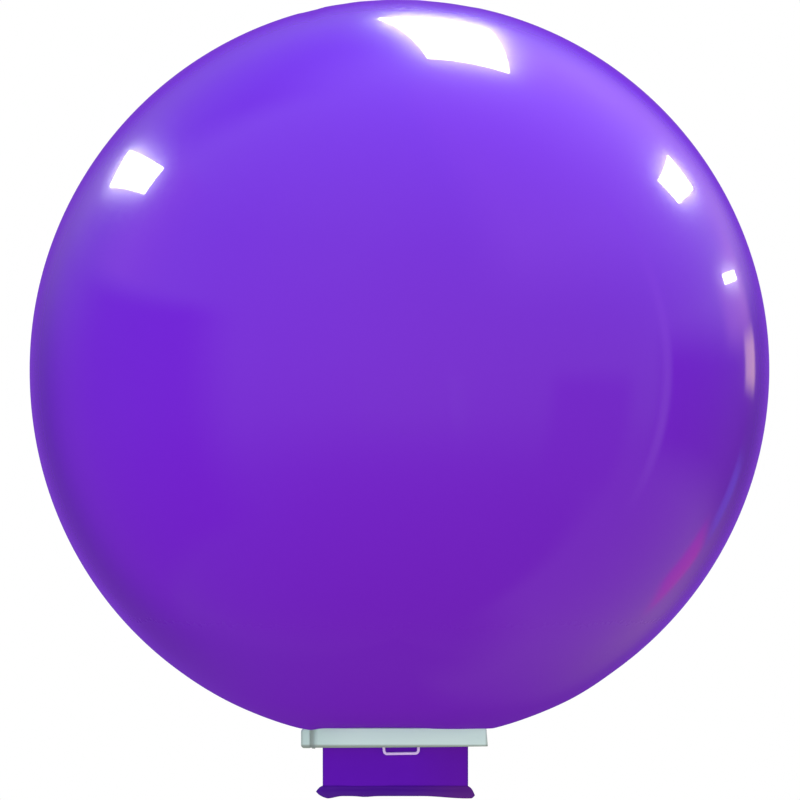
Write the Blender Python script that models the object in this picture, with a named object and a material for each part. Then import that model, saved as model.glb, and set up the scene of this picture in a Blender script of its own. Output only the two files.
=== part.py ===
"""Giant latex balloon, closed by a hinged bar clip that carries a small tie loop.

The model's frame: +Z up, +X to the right, the clip's plain face towards -Y.
The origin lies under the balloon's centre, level with the lowest point of the mouth bead.
All lengths are in metres.
"""

import math

import bmesh
import bpy
import numpy as np

MM = 0.001
FIT_GAP = 0.3 * MM

# Balloon
BALLOON_RADIUS = 360 * MM
BALLOON_CENTRE_Z = 418 * MM
LOWER_FULLNESS = 4.4 * MM
LOWER_DRIFT = -3.4 * MM
FILM_WALL = 0.15 * MM
ROWS_ON_SPHERE = 20
ROWS_ON_BELLY = 7
POINTS_AROUND = 40

# Flat neck, two layers of film with a slit between them
NECK_CENTRE_X = -4.0 * MM
NECK_HALF_WIDTH = 70.5 * MM
NECK_WALL = 0.4 * MM
NECK_SLIT = 0.3 * MM
NECK_HALF_DEPTH = NECK_WALL + NECK_SLIT / 2
TAIL_TOP_Z = 50.1 * MM
TAIL_HINGE_Z = 50.6 * MM
TAIL_BOTTOM_Z = 12.4 * MM

# Mouth bead, the rolled edge of the neck pressed flat
BEAD_HALF_WIDTH = 77.5 * MM
BEAD_END_THICKNESS = 8.0 * MM
BEAD_STRAND_THICKNESS = 4.0 * MM
BEAD_SLIT = 0.6 * MM
BEAD_TOP_Z = TAIL_BOTTOM_Z - FIT_GAP
BEAD_ARCH = 2.5 * MM
BEAD_END_DROP = 1.5 * MM

# Clip, front arm
CLIP_MID_Z = 60 * MM
BAR_HALF_HEIGHT = 9 * MM
BAR_FRONT_Y = -8.85 * MM
BAR_LIP_Y = -0.85 * MM
BAR_RIGHT_TOP_X = 84.6 * MM
BAR_RIGHT_BOTTOM_X = 86.0 * MM
BAR_BOTTOM_DROP = 1.3 * MM
BAR_BOTTOM_RISE = 1.4 * MM
BAR_STATIONS = (0.0, 0.25, 0.5, 0.75)
BAR_OVERLAP = 3 * MM
EDGE_CHAMFER = 0.5 * MM
FRONT_EDGE_RADIUS = 1.0 * MM
LIP_EDGE_RADIUS = 0.3 * MM
BLOCK_LEFT_X = -95.8 * MM
BLOCK_RIGHT_X = -87.1 * MM
BLOCK_TOP_Z = 68.3 * MM
BLOCK_BOTTOM_Z = 49.4 * MM
BLOCK_CORNER_RADIUS = 3.0 * MM
BLOCK_RIM = 0.6 * MM
BLOCK_REACH_Y = 3 * MM
GROOVE_RIGHT_X = -80.3 * MM
GROOVE_DEPTH = 1.7 * MM
GROOVE_CURVED_SHARE = 0.6
CHANNEL_LEFT_X = -81.5 * MM
CHANNEL_RIGHT_X = 82.0 * MM

# Clip, pressing rib of the rear arm and the film folded round it
RIB_HALF_HEIGHT = 3.4 * MM
RIB_FRONT_Y = -3.6 * MM
RIB_END_CLEARANCE = 1.5 * MM
RIB_CHAMFER = 0.7 * MM
FOLD_HALF_HEIGHT = RIB_HALF_HEIGHT + FIT_GAP + NECK_HALF_DEPTH
FOLD_FRONT_Y = RIB_FRONT_Y - FIT_GAP - NECK_HALF_DEPTH
FOLD_RADIUS = 0.75 * MM
CHANNEL_HALF_HEIGHT = FOLD_HALF_HEIGHT + NECK_HALF_DEPTH + FIT_GAP
CHANNEL_FLOOR_Y = FOLD_FRONT_Y - NECK_HALF_DEPTH - FIT_GAP

# Clip, rear arm
REAR_FACE_Y = 0.85 * MM
REAR_THICKNESS = 2.5 * MM
REAR_HALF_HEIGHT = 8.8 * MM
REAR_LEFT_X = -86.9 * MM
REAR_RIGHT_X = 84.2 * MM
REAR_CORNER_RADIUS = 2.5 * MM
PANEL_LEFT_X = -74 * MM
PANEL_RIGHT_X = 58 * MM
PANEL_HALF_HEIGHT = 5 * MM
PANEL_DEPTH = 0.7 * MM
GRIP_COUNT = 5
GRIP_PITCH = 3.6 * MM
GRIP_WIDTH = 1.4 * MM
GRIP_HEIGHT = 0.6 * MM
GRIP_END_INSET = 4 * MM
GRIP_SIDE_INSET = 2.5 * MM

# Hinge
PIN_X = (BLOCK_LEFT_X + BLOCK_RIGHT_X) / 2
PIN_Y = -3.05 * MM
PIN_RADIUS = 1.5 * MM
PIN_INSET = 0.2 * MM
PIN_CHAMFER = 0.3 * MM
EYE_RADIUS = 3.4 * MM
CHEEK_RADIUS = 4.0 * MM
CHEEK_THICKNESS = 3.8 * MM
POCKET_CLEARANCE = 0.4 * MM
HEAD_OVERLAP = 2 * MM
HEAD_SINK = 0.1 * MM
HEAD_BEVEL = 3 * MM

# Small details of the front arm's face
NIB_X = -83.6 * MM
NIB_Y = -6.2 * MM
NIB_RADIUS = 1.5 * MM
NIB_BOTTOM_Z = 48.9 * MM
NIB_OVERLAP = 2 * MM
DIMPLE_X = 74.2 * MM
DIMPLE_Z = 60.3 * MM
DIMPLE_RADIUS = 1.2 * MM
DIMPLE_DEPTH = 0.25 * MM

# Guides that cut right through reach from below the clip to above it
GUIDE_LOW_Z = 40 * MM
GUIDE_HIGH_Z = 80 * MM
GUIDE_FRONT_Y = BAR_FRONT_Y - MM

# Tie loop, a small bail under the front arm
LOOP_LEFT_X = -15.6 * MM
LOOP_RIGHT_X = 18.5 * MM
LOOP_Y = -4.0 * MM
LOOP_ROD_RADIUS = 1.4 * MM
LOOP_PIVOT_Z = 52.8 * MM
LOOP_BOTTOM_Z = 43.7 * MM
LOOP_CORNER_RADII = (3.4 * MM, 2.6 * MM)
TRUNNION_RADIUS = 0.9 * MM
TRUNNION_REACH = 3.6 * MM
LOOP_SWING_FORWARD = math.radians(38)
LOOP_SWING_BACK = math.radians(5)
SLOT_REACH = 8 * MM


def clear_scene():
    for obj in list(bpy.data.objects):
        bpy.data.objects.remove(obj, do_unlink=True)


def make_material(name, colour, roughness):
    material = bpy.data.materials.new(name)
    material.use_nodes = True
    shader = material.node_tree.nodes["Principled BSDF"]
    shader.inputs["Base Color"].default_value = (*colour, 1.0)
    shader.inputs["Roughness"].default_value = roughness
    shader.inputs["Metallic"].default_value = 0.0
    return material


def add_object(name, bm, material, smooth_degrees=30):
    """Turn a bmesh into a named object with its faces pointing outwards."""
    bmesh.ops.recalc_face_normals(bm, faces=bm.faces)
    mesh = bpy.data.meshes.new(name)
    bm.to_mesh(mesh)
    bm.free()
    mesh.shade_smooth()
    mesh.set_sharp_from_angle(angle=math.radians(smooth_degrees))
    if material:
        mesh.materials.append(material)
    obj = bpy.data.objects.new(name, mesh)
    bpy.context.collection.objects.link(obj)
    return obj


def set_origin(obj, x, y, z):
    """Move the origin to a joint's axis and leave the surface where it is."""
    shift = np.array((x, y, z))
    for vertex in obj.data.vertices:
        vertex.co = tuple(np.array(vertex.co) - shift)
    obj.location = (x, y, z)


def combine(obj, other, operation):
    """Add a live exact Boolean; the other object is only a guide and isn't part of the model."""
    other.hide_render = True
    other.display_type = "WIRE"
    modifier = obj.modifiers.new(other.name, "BOOLEAN")
    modifier.operation = operation
    modifier.solver = "EXACT"
    modifier.object = other


def bridge(bm, first, second):
    """Join two closed loops of equally many vertices with a band of faces."""
    count = len(first)
    for i in range(count):
        j = (i + 1) % count
        bm.faces.new((first[i], first[j], second[j], second[i]))


def add_loops(bm, loops):
    return [[bm.verts.new(point) for point in loop] for loop in loops]


def loft(name, loops, material, smooth_degrees=30):
    """Solid through a row of closed loops, with flat ends."""
    bm = bmesh.new()
    rows = add_loops(bm, loops)
    for first, second in zip(rows, rows[1:]):
        bridge(bm, first, second)
    bm.faces.new(rows[0])
    bm.faces.new(rows[-1])
    return add_object(name, bm, material, smooth_degrees)


def extrude(name, outline, axis, low, high, material=None, smooth_degrees=30):
    """Prism of a 2-D outline; the outline's pairs fill the two other axes in X, Y, Z order."""
    loops = [[np.insert(point, axis, level) for point in outline] for level in (low, high)]
    return loft(name, loops, material, smooth_degrees)


def through(name, outline):
    """Upright prism that passes through the whole height of the clip."""
    return extrude(name, outline, 2, GUIDE_LOW_Z, GUIDE_HIGH_Z)


def box(name, low, high):
    outline = [(low[0], low[1]), (high[0], low[1]), (high[0], high[1]), (low[0], high[1])]
    return extrude(name, outline, 2, low[2], high[2])


def arc(centre, radius, start_degrees, end_degrees, steps=6):
    angles = np.radians(np.linspace(start_degrees, end_degrees, steps + 1))
    return [(centre[0] + radius * math.cos(a), centre[1] + radius * math.sin(a)) for a in angles]


def circle(centre, radius, points):
    return arc(centre, radius, 0, 360, points)[:-1]


def rounded_rectangle(u_low, u_high, v_low, v_high, radii, steps=5):
    """Outline with its own radius at each corner: low-low, high-low, high-high, low-high."""
    corners = [
        (u_low + radii[0], v_low + radii[0], radii[0], 180),
        (u_high - radii[1], v_low + radii[1], radii[1], 270),
        (u_high - radii[2], v_high - radii[2], radii[2], 0),
        (u_low + radii[3], v_high - radii[3], radii[3], 90),
    ]
    outline = []
    for u, v, radius, start in corners:
        outline += arc((u, v), radius, start, start + 90, steps)
    return outline


def rounded_path(corners, radii, steps=4):
    """Plane path through its corners, with an arc at each inner one.

    Returns the path's points and its unit normals, which point to the left of the way.
    """
    corners = [np.array(corner, float) for corner in corners]
    points, directions = [corners[0]], [unit(corners[1] - corners[0])]
    for before, corner, after, radius in zip(corners, corners[1:], corners[2:], radii):
        way_in, way_out = unit(corner - before), unit(after - corner)
        side = np.sign(way_in[0] * way_out[1] - way_in[1] * way_out[0])
        turn = math.acos(float(np.clip(way_in @ way_out, -1, 1)))
        start = corner - way_in * radius * math.tan(turn / 2)
        centre = start + side * radius * left_of(way_in)
        for angle in np.linspace(0, turn, steps + 1):
            direction = rotated(way_in, side * angle)
            points.append(centre - side * radius * left_of(direction))
            directions.append(direction)
    points.append(corners[-1])
    directions.append(unit(corners[-1] - corners[-2]))
    return points, [left_of(direction) for direction in directions]


def unit(vector):
    return vector / np.linalg.norm(vector)


def left_of(vector):
    return np.array((-vector[1], vector[0]))


def rotated(vector, angle):
    c, s = math.cos(angle), math.sin(angle)
    return np.array((c * vector[0] - s * vector[1], s * vector[0] + c * vector[1]))


# ---------------------------------------------------------------- balloon


def depth_below_centre(z):
    return np.maximum(BALLOON_CENTRE_Z - z, 0)


def lower_share(z, power):
    """0 at the balloon's centre, 1 at the height where the clip closes it."""
    clip_depth = BALLOON_CENTRE_Z - belly_floor_z()
    return (depth_below_centre(z) / clip_depth) ** power


def belly_floor_z():
    return CLIP_MID_Z + BAR_HALF_HEIGHT + FIT_GAP


def half_width(z):
    """The balloon is a sphere whose lower half is a little fuller."""
    height = z - BALLOON_CENTRE_Z
    round_part = np.sqrt(np.maximum(BALLOON_RADIUS**2 - height**2, 0))
    return round_part + LOWER_FULLNESS * lower_share(z, 1.6)


def drift_x(z):
    """The lower half leans to the left by a few millimetres."""
    return LOWER_DRIFT * lower_share(z, 1.4)


def sphere_rows(join_z):
    """Rows from the join upwards, without the pole: half-width, half-depth, two heights, squareness."""
    join_angle = math.acos((join_z - BALLOON_CENTRE_Z) / BALLOON_RADIUS)
    rows = []
    for i in range(ROWS_ON_SPHERE):
        angle = join_angle * (1 - i / ROWS_ON_SPHERE)
        z = BALLOON_CENTRE_Z + BALLOON_RADIUS * math.cos(angle)
        rows.append((half_width(z), half_width(z), z, z, 2))
    return rows


def belly_rows(join_z):
    """Rows from the neck out to the join, over the top of the clip.

    Along X the film lies flat on the clip and then follows the sphere. Along Y its height is
    c2 y^2 + c4 y^4, which meets the sphere at the join with the same slope.
    """
    floor_z = belly_floor_z()
    join_half = float(half_width(join_z))
    rise = join_z - floor_z
    slope_term = join_half**2 / (BALLOON_CENTRE_Z - join_z) / 2
    quartic = slope_term - rise
    square = rise - quartic
    levels = np.linspace(floor_z, join_z, 60)
    rows = []
    for i in range(1, ROWS_ON_BELLY):
        share = i / ROWS_ON_BELLY
        across = NECK_HALF_WIDTH + (join_half - NECK_HALF_WIDTH) * share
        deep = NECK_HALF_DEPTH + (join_half - NECK_HALF_DEPTH) * share
        z_along_x = float(np.interp(across, half_width(levels), levels))
        z_along_y = floor_z + square * share**2 + quartic * share**4
        rows.append((across, deep, z_along_x, z_along_y, 2 + 6 * (1 - share) ** 4))
    return rows


def neck_rows():
    """Rows up the neck's short collar and round its bend onto the clip's top face."""
    bend = FIT_GAP
    centre_z = belly_floor_z() - bend
    rows = [(NECK_HALF_WIDTH, NECK_HALF_DEPTH, centre_z - bend, centre_z - bend, 10)]
    for angle in np.radians(np.linspace(180, 90, 5)):
        out = bend + bend * math.cos(angle)
        z = centre_z + bend * math.sin(angle)
        rows.append((NECK_HALF_WIDTH + out, NECK_HALF_DEPTH + out, z, z, 10))
    return rows


def row_loop(row, neck_share):
    """Closed loop x = A cos t, y = B (1 - |cos t|^p)^(1/p), its height mixed by cos^2 t."""
    across, deep, z_along_x, z_along_y, power = row
    turn = np.linspace(0, 2 * math.pi, POINTS_AROUND, endpoint=False)
    cos, sin = np.cos(turn), np.sin(turn)
    flat = np.maximum(1 - np.abs(cos) ** power, 0) ** (1 / power)
    z = z_along_x * cos**2 + z_along_y * (1 - cos**2)
    x = across * cos + drift_x(z) * (1 - neck_share) + NECK_CENTRE_X * neck_share
    return np.stack((x, deep * flat * np.sign(np.round(sin, 9)), z), axis=1)


def build_envelope(material):
    """Thin shell, open at the neck's slit: an outer skin and an inner one offset along the normal."""
    join_z = 100 * MM
    neck, belly, sphere = neck_rows(), belly_rows(join_z), sphere_rows(join_z)
    shares = [1.0] * len(neck) + list(np.linspace(1, 0, len(belly) + 2)[1:-1]) + [0.0] * len(sphere)
    walls = [NECK_WALL + (FILM_WALL - NECK_WALL) * (1 - share) for share in shares]
    outer = np.array([row_loop(row, share) for row, share in zip(neck + belly + sphere, shares)])
    up = np.gradient(outer, axis=0)
    around = np.roll(outer, -1, axis=1) - np.roll(outer, 1, axis=1)
    normal = np.cross(around, up)
    normal /= np.linalg.norm(normal, axis=2, keepdims=True)
    inner = outer - normal * np.array(walls)[:, None, None]
    bm = bmesh.new()
    top = BALLOON_CENTRE_Z + BALLOON_RADIUS
    skins = []
    for skin, pole_z in ((outer, top), (inner, top - FILM_WALL)):
        loops = add_loops(bm, skin)
        for first, second in zip(loops, loops[1:]):
            bridge(bm, first, second)
        pole = bm.verts.new((0, 0, pole_z))
        for i in range(POINTS_AROUND):
            bm.faces.new((loops[-1][i], loops[-1][(i + 1) % POINTS_AROUND], pole))
        skins.append(loops)
    bridge(bm, skins[0][0], skins[1][0])
    return add_object("balloon_envelope", bm, material, 80)


def film_tube(name, path, normals, material):
    """Flattened tube of film: a wide rectangle with a slit inside it, carried along a path in YZ."""
    bm = bmesh.new()
    loops = []
    for reach, depth in (
        (NECK_HALF_WIDTH, NECK_HALF_DEPTH),
        (NECK_HALF_WIDTH - NECK_WALL, NECK_SLIT / 2),
    ):
        rows = []
        for point, normal in zip(path, normals):
            front, back = point - normal * depth, point + normal * depth
            left, right = NECK_CENTRE_X - reach, NECK_CENTRE_X + reach
            rows.append([(left, *front), (right, *front), (right, *back), (left, *back)])
        loops.append(add_loops(bm, rows))
        for first, second in zip(loops[-1], loops[-1][1:]):
            bridge(bm, first, second)
    bridge(bm, loops[0][0], loops[1][0])
    bridge(bm, loops[0][-1], loops[1][-1])
    return add_object(name, bm, material)


def build_sleeve(material):
    """Film inside the clip, folded round the pressing rib."""
    top_z = belly_floor_z() - 3 * FIT_GAP
    bottom_z = CLIP_MID_Z - REAR_HALF_HEIGHT
    high, low = CLIP_MID_Z + FOLD_HALF_HEIGHT, CLIP_MID_Z - FOLD_HALF_HEIGHT
    corners = [(0, top_z), (0, high), (FOLD_FRONT_Y, high), (FOLD_FRONT_Y, low), (0, low), (0, bottom_z)]
    path, normals = rounded_path(corners, [FOLD_RADIUS] * 4)
    return film_tube("neck_sleeve", path, normals, material)


def build_tail(material):
    """Flat film that hangs under the clip."""
    path, normals = rounded_path([(0, TAIL_TOP_Z), (0, TAIL_BOTTOM_Z)], [])
    tail = film_tube("neck_tail", path, normals, material)
    set_origin(tail, NECK_CENTRE_X, 0, TAIL_HINGE_Z)
    return tail


def build_bead(material):
    """Rolled edge, pressed flat: an oval section carried round a long flat loop."""
    bm = bmesh.new()
    reach = BEAD_HALF_WIDTH - BEAD_END_THICKNESS / 2
    loops = []
    for turn in np.linspace(0, 2 * math.pi, 44, endpoint=False):
        end_share = abs(math.cos(turn)) ** 12
        thickness = BEAD_STRAND_THICKNESS + (BEAD_END_THICKNESS - BEAD_STRAND_THICKNESS) * end_share
        across = math.cos(turn) * reach
        deep = (BEAD_SLIT + BEAD_STRAND_THICKNESS) / 2 * flat_oval(turn, 8)
        outward = unit(np.array((end_share * math.copysign(1, math.cos(turn)), math.sin(turn))))
        share = (across / reach) ** 4
        bottom, top = BEAD_ARCH * (1 - share), BEAD_TOP_Z - BEAD_END_DROP * share
        loop = []
        for angle in np.linspace(0, 2 * math.pi, 16, endpoint=False):
            out = thickness / 2 * math.cos(angle) * outward
            z = (top + bottom) / 2 + (top - bottom) / 2 * math.sin(angle)
            loop.append((NECK_CENTRE_X + across + out[0], deep + out[1], z))
        loops.append(loop)
    rows = add_loops(bm, loops)
    for first, second in zip(rows, rows[1:] + rows[:1]):
        bridge(bm, first, second)
    bead = add_object("mouth_bead", bm, material, 60)
    set_origin(bead, NECK_CENTRE_X, 0, TAIL_HINGE_Z)
    return bead


def flat_oval(turn, power):
    """Height of a flat oval of unit size at the place cos(turn) along it."""
    height = max(1 - abs(math.cos(turn)) ** power, 0) ** (1 / power)
    return math.copysign(height, math.sin(turn))


# ---------------------------------------------------------------- clip


def build_bar(material):
    """Long bar of the front arm; its lower edge sags towards the hinge and its end is cut on the slant."""
    low, high = CLIP_MID_Z - BAR_HALF_HEIGHT, CLIP_MID_Z + BAR_HALF_HEIGHT
    radii = (FRONT_EDGE_RADIUS, LIP_EDGE_RADIUS, LIP_EDGE_RADIUS, FRONT_EDGE_RADIUS)
    section = rounded_rectangle(BAR_FRONT_Y, BAR_LIP_Y, low, high, radii)
    mid_y = (BAR_FRONT_Y + BAR_LIP_Y) / 2
    left_x = BLOCK_RIGHT_X - BAR_OVERLAP

    def station(share, back, inset):
        loop = []
        for y, z in section:
            below = (high - z) / (high - low)
            right_x = BAR_RIGHT_TOP_X + (BAR_RIGHT_BOTTOM_X - BAR_RIGHT_TOP_X) * below - back
            x = left_x + (right_x - left_x) * share
            z = z - (BAR_BOTTOM_DROP - BAR_BOTTOM_RISE * share * share) * below
            inset_y = math.copysign(inset, y - mid_y)
            inset_z = math.copysign(inset, z - CLIP_MID_Z)
            loop.append((x, y - inset_y, z - inset_z))
        return loop

    stations = [station(share, EDGE_CHAMFER, 0) for share in BAR_STATIONS]
    stations += [station(1, EDGE_CHAMFER, 0), station(1, 0, EDGE_CHAMFER)]
    return loft("clip_front_arm", stations, material)


def hinge_block_guide():
    """Hinge end of the front arm: rounded corners seen from the front, a round back seen from above."""
    radii = (BLOCK_CORNER_RADIUS, LIP_EDGE_RADIUS, LIP_EDGE_RADIUS, BLOCK_CORNER_RADIUS)
    loops = []
    for y, inset in ((BAR_FRONT_Y, BLOCK_RIM), (BAR_FRONT_Y + BLOCK_RIM, 0), (BLOCK_REACH_Y, 0)):
        outline = rounded_rectangle(
            BLOCK_LEFT_X + inset,
            BLOCK_RIGHT_X,
            BLOCK_BOTTOM_Z + inset,
            BLOCK_TOP_Z - inset,
            radii,
        )
        loops.append([(x, y, z) for x, z in outline])
    block = loft("guide_hinge_block", loops, None)
    left, right = BLOCK_LEFT_X - MM, BLOCK_RIGHT_X + MM
    plan = [(left, PIN_Y), (left, GUIDE_FRONT_Y), (right, GUIDE_FRONT_Y), (right, PIN_Y)]
    plan += arc((PIN_X, PIN_Y), CHEEK_RADIUS, 0, 180, 10)
    combine(block, through("guide_hinge_plan", plan), "INTERSECT")
    return block


def groove_guide():
    """Valley between hinge block and bar: a steep left wall and a bottom that curves up to the right."""
    floor = BAR_FRONT_Y + GROOVE_DEPTH
    width = GROOVE_RIGHT_X - BLOCK_RIGHT_X
    outline = [(BLOCK_RIGHT_X, GUIDE_FRONT_Y), (GROOVE_RIGHT_X, GUIDE_FRONT_Y), (GROOVE_RIGHT_X, BAR_FRONT_Y)]
    for share in (0.25, 0.5, 0.75, 1.0):
        lift = math.cos(share * math.pi / 2)
        outline.append((GROOVE_RIGHT_X - width * GROOVE_CURVED_SHARE * share, floor - GROOVE_DEPTH * lift))
    outline.append((BLOCK_RIGHT_X, floor))
    return through("guide_groove", outline)


def pin_hole_guide(name):
    return through(name, circle((PIN_X, PIN_Y), PIN_RADIUS + FIT_GAP, 20))


def loop_slot_guides(x, outward):
    """Slot for one leg of the loop, flared for its swing, and the blind hole for its trunnion."""
    clear = LOOP_ROD_RADIUS + FIT_GAP
    forward, back = -LOOP_SWING_FORWARD, LOOP_SWING_BACK
    forward_end = (LOOP_Y + SLOT_REACH * math.sin(forward), LOOP_PIVOT_Z - SLOT_REACH * math.cos(forward))
    back_end = (LOOP_Y + SLOT_REACH * math.sin(back), LOOP_PIVOT_Z - SLOT_REACH * math.cos(back))
    forward_side, back_side = 180 + math.degrees(forward), math.degrees(back)
    outline = arc((LOOP_Y, LOOP_PIVOT_Z), clear, back_side, forward_side, 8)
    outline.append(arc(forward_end, clear, forward_side, forward_side, 1)[0])
    outline.append(arc(back_end, clear, back_side, back_side, 1)[0])
    slot = extrude(f"guide_slot_{outward}", outline, 0, x - clear, x + clear)
    socket = circle((LOOP_Y, LOOP_PIVOT_Z), TRUNNION_RADIUS + FIT_GAP, 16)
    end = x + outward * (TRUNNION_REACH + FIT_GAP)
    hole = extrude(f"guide_socket_{outward}", socket, 0, min(x, end), max(x, end))
    return slot, hole


def build_front_arm(material):
    """C-shaped bar with a hinge block at its left end and two sockets for the tie loop."""
    arm = build_bar(material)
    combine(arm, hinge_block_guide(), "UNION")
    nib_outline = circle((NIB_X, NIB_Y), NIB_RADIUS, 14)
    nib_top_z = CLIP_MID_Z - BAR_HALF_HEIGHT + NIB_OVERLAP
    combine(arm, extrude("guide_gate_nib", nib_outline, 2, NIB_BOTTOM_Z, nib_top_z), "UNION")
    combine(arm, groove_guide(), "DIFFERENCE")
    channel = box(
        "guide_channel",
        (CHANNEL_LEFT_X, CHANNEL_FLOOR_Y, CLIP_MID_Z - CHANNEL_HALF_HEIGHT),
        (CHANNEL_RIGHT_X, MM, CLIP_MID_Z + CHANNEL_HALF_HEIGHT),
    )
    combine(arm, channel, "DIFFERENCE")
    pocket = box(
        "guide_pocket",
        (BLOCK_LEFT_X - MM, PIN_Y - EYE_RADIUS - POCKET_CLEARANCE, BLOCK_BOTTOM_Z + CHEEK_THICKNESS),
        (PIN_X + EYE_RADIUS + POCKET_CLEARANCE, 5 * MM, BLOCK_TOP_Z - CHEEK_THICKNESS),
    )
    combine(arm, pocket, "DIFFERENCE")
    combine(arm, pin_hole_guide("guide_cheek_bore"), "DIFFERENCE")
    for x, outward in ((LOOP_LEFT_X, -1), (LOOP_RIGHT_X, 1)):
        for guide in loop_slot_guides(x, outward):
            combine(arm, guide, "DIFFERENCE")
    dimple_outline = circle((DIMPLE_X, DIMPLE_Z), DIMPLE_RADIUS, 16)
    dimple_floor_y = BAR_FRONT_Y + DIMPLE_DEPTH
    dimple = extrude("guide_ejector_dimple", dimple_outline, 1, GUIDE_FRONT_Y, dimple_floor_y)
    combine(arm, dimple, "DIFFERENCE")
    return arm


def rear_head_guide():
    """Eye round the pin, carried back to the level of the rear arm's plate."""
    front_y = REAR_FACE_Y + HEAD_SINK
    back_y = REAR_FACE_Y + REAR_THICKNESS - HEAD_SINK
    left, right = PIN_X - EYE_RADIUS, PIN_X + EYE_RADIUS
    end_x = REAR_LEFT_X + HEAD_OVERLAP
    outline = arc((PIN_X, PIN_Y), EYE_RADIUS, 180, 360, 10)
    outline += [(right, front_y), (end_x, front_y), (end_x, back_y)]
    outline += [(left + HEAD_BEVEL, back_y), (left, back_y - HEAD_BEVEL)]
    low = BLOCK_BOTTOM_Z + CHEEK_THICKNESS + FIT_GAP
    high = BLOCK_TOP_Z - CHEEK_THICKNESS - FIT_GAP
    return extrude("guide_rear_head", outline, 2, low, high)


def build_rear_arm(material):
    """Flat plate with a pressing rib in front, grip ridges behind and an eye at its left end."""
    back_y = REAR_FACE_Y + REAR_THICKNESS
    low, high = CLIP_MID_Z - REAR_HALF_HEIGHT, CLIP_MID_Z + REAR_HALF_HEIGHT
    radii = (LIP_EDGE_RADIUS, REAR_CORNER_RADIUS, REAR_CORNER_RADIUS, LIP_EDGE_RADIUS)
    loops = []
    for y, inset in ((REAR_FACE_Y, 0), (back_y - EDGE_CHAMFER, 0), (back_y, EDGE_CHAMFER)):
        outline = rounded_rectangle(
            REAR_LEFT_X + inset, REAR_RIGHT_X - inset, low + inset, high - inset, radii
        )
        loops.append([(x, y, z) for x, z in outline])
    arm = loft("clip_rear_arm", loops, material)
    panel = box(
        "guide_panel",
        (PANEL_LEFT_X, back_y - PANEL_DEPTH, CLIP_MID_Z - PANEL_HALF_HEIGHT),
        (PANEL_RIGHT_X, back_y + MM, CLIP_MID_Z + PANEL_HALF_HEIGHT),
    )
    combine(arm, panel, "DIFFERENCE")
    rib_section = [
        (REAR_FACE_Y + MM, CLIP_MID_Z - RIB_HALF_HEIGHT),
        (REAR_FACE_Y + MM, CLIP_MID_Z + RIB_HALF_HEIGHT),
        (RIB_FRONT_Y + RIB_CHAMFER, CLIP_MID_Z + RIB_HALF_HEIGHT),
        (RIB_FRONT_Y, CLIP_MID_Z + RIB_HALF_HEIGHT - RIB_CHAMFER),
        (RIB_FRONT_Y, CLIP_MID_Z - RIB_HALF_HEIGHT + RIB_CHAMFER),
        (RIB_FRONT_Y + RIB_CHAMFER, CLIP_MID_Z - RIB_HALF_HEIGHT),
    ]
    rib_left_x, rib_right_x = CHANNEL_LEFT_X + RIB_END_CLEARANCE, CHANNEL_RIGHT_X - RIB_END_CLEARANCE
    rib = extrude("guide_rib", rib_section, 0, rib_left_x, rib_right_x)
    combine(arm, rib, "UNION")
    combine(arm, rear_head_guide(), "UNION")
    for i in range(GRIP_COUNT):
        x = REAR_RIGHT_X - GRIP_END_INSET - i * GRIP_PITCH
        ridge = box(
            f"guide_grip_{i}",
            (x - GRIP_WIDTH, back_y - MM, low + GRIP_SIDE_INSET),
            (x, back_y + GRIP_HEIGHT, high - GRIP_SIDE_INSET),
        )
        combine(arm, ridge, "UNION")
    combine(arm, pin_hole_guide("guide_eye_bore"), "DIFFERENCE")
    set_origin(arm, PIN_X, PIN_Y, CLIP_MID_Z)
    return arm


def build_pin(material):
    """Plain round pin with chamfered ends, pressed through the two cheeks of the hinge block."""
    low, high = BLOCK_BOTTOM_Z + PIN_INSET, BLOCK_TOP_Z - PIN_INSET
    loops = []
    ends = ((low, PIN_CHAMFER), (low + PIN_CHAMFER, 0), (high - PIN_CHAMFER, 0), (high, PIN_CHAMFER))
    for z, inset in ends:
        loops.append([(x, y, z) for x, y in circle((PIN_X, PIN_Y), PIN_RADIUS - inset, 20)])
    return loft("hinge_pin", loops, material)


def build_tie_loop(material):
    """Round rod bent into a flat U, with round tops on the pivot axis and a trunnion on each leg."""
    corners = [
        (LOOP_LEFT_X, LOOP_PIVOT_Z),
        (LOOP_LEFT_X, LOOP_BOTTOM_Z),
        (LOOP_RIGHT_X, LOOP_BOTTOM_Z),
        (LOOP_RIGHT_X, LOOP_PIVOT_Z),
    ]
    path, normals = rounded_path(corners, LOOP_CORNER_RADII, 5)
    stations = [(point, normal, LOOP_ROD_RADIUS) for point, normal in zip(path, normals)]
    for angle in np.radians((30, 60, 80)):
        rise = np.array((0, LOOP_ROD_RADIUS * math.sin(angle)))
        radius = LOOP_ROD_RADIUS * math.cos(angle)
        stations.insert(0, (path[0] + rise, normals[0], radius))
        stations.append((path[-1] + rise, normals[-1], radius))
    loops = []
    for point, normal, radius in stations:
        loop = []
        for turn in np.linspace(0, 2 * math.pi, 14, endpoint=False):
            across = point + normal * radius * math.cos(turn)
            loop.append((across[0], LOOP_Y + radius * math.sin(turn), across[1]))
        loops.append(loop)
    rod = loft("tie_loop", loops, material, 50)
    for x, outward in ((LOOP_LEFT_X, -1), (LOOP_RIGHT_X, 1)):
        section = circle((LOOP_Y, LOOP_PIVOT_Z), TRUNNION_RADIUS, 14)
        end = x + outward * TRUNNION_REACH
        trunnion = extrude(f"guide_trunnion_{outward}", section, 0, min(x, end), max(x, end))
        combine(rod, trunnion, "UNION")
    set_origin(rod, (LOOP_LEFT_X + LOOP_RIGHT_X) / 2, LOOP_Y, LOOP_PIVOT_Z)
    return rod


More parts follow.
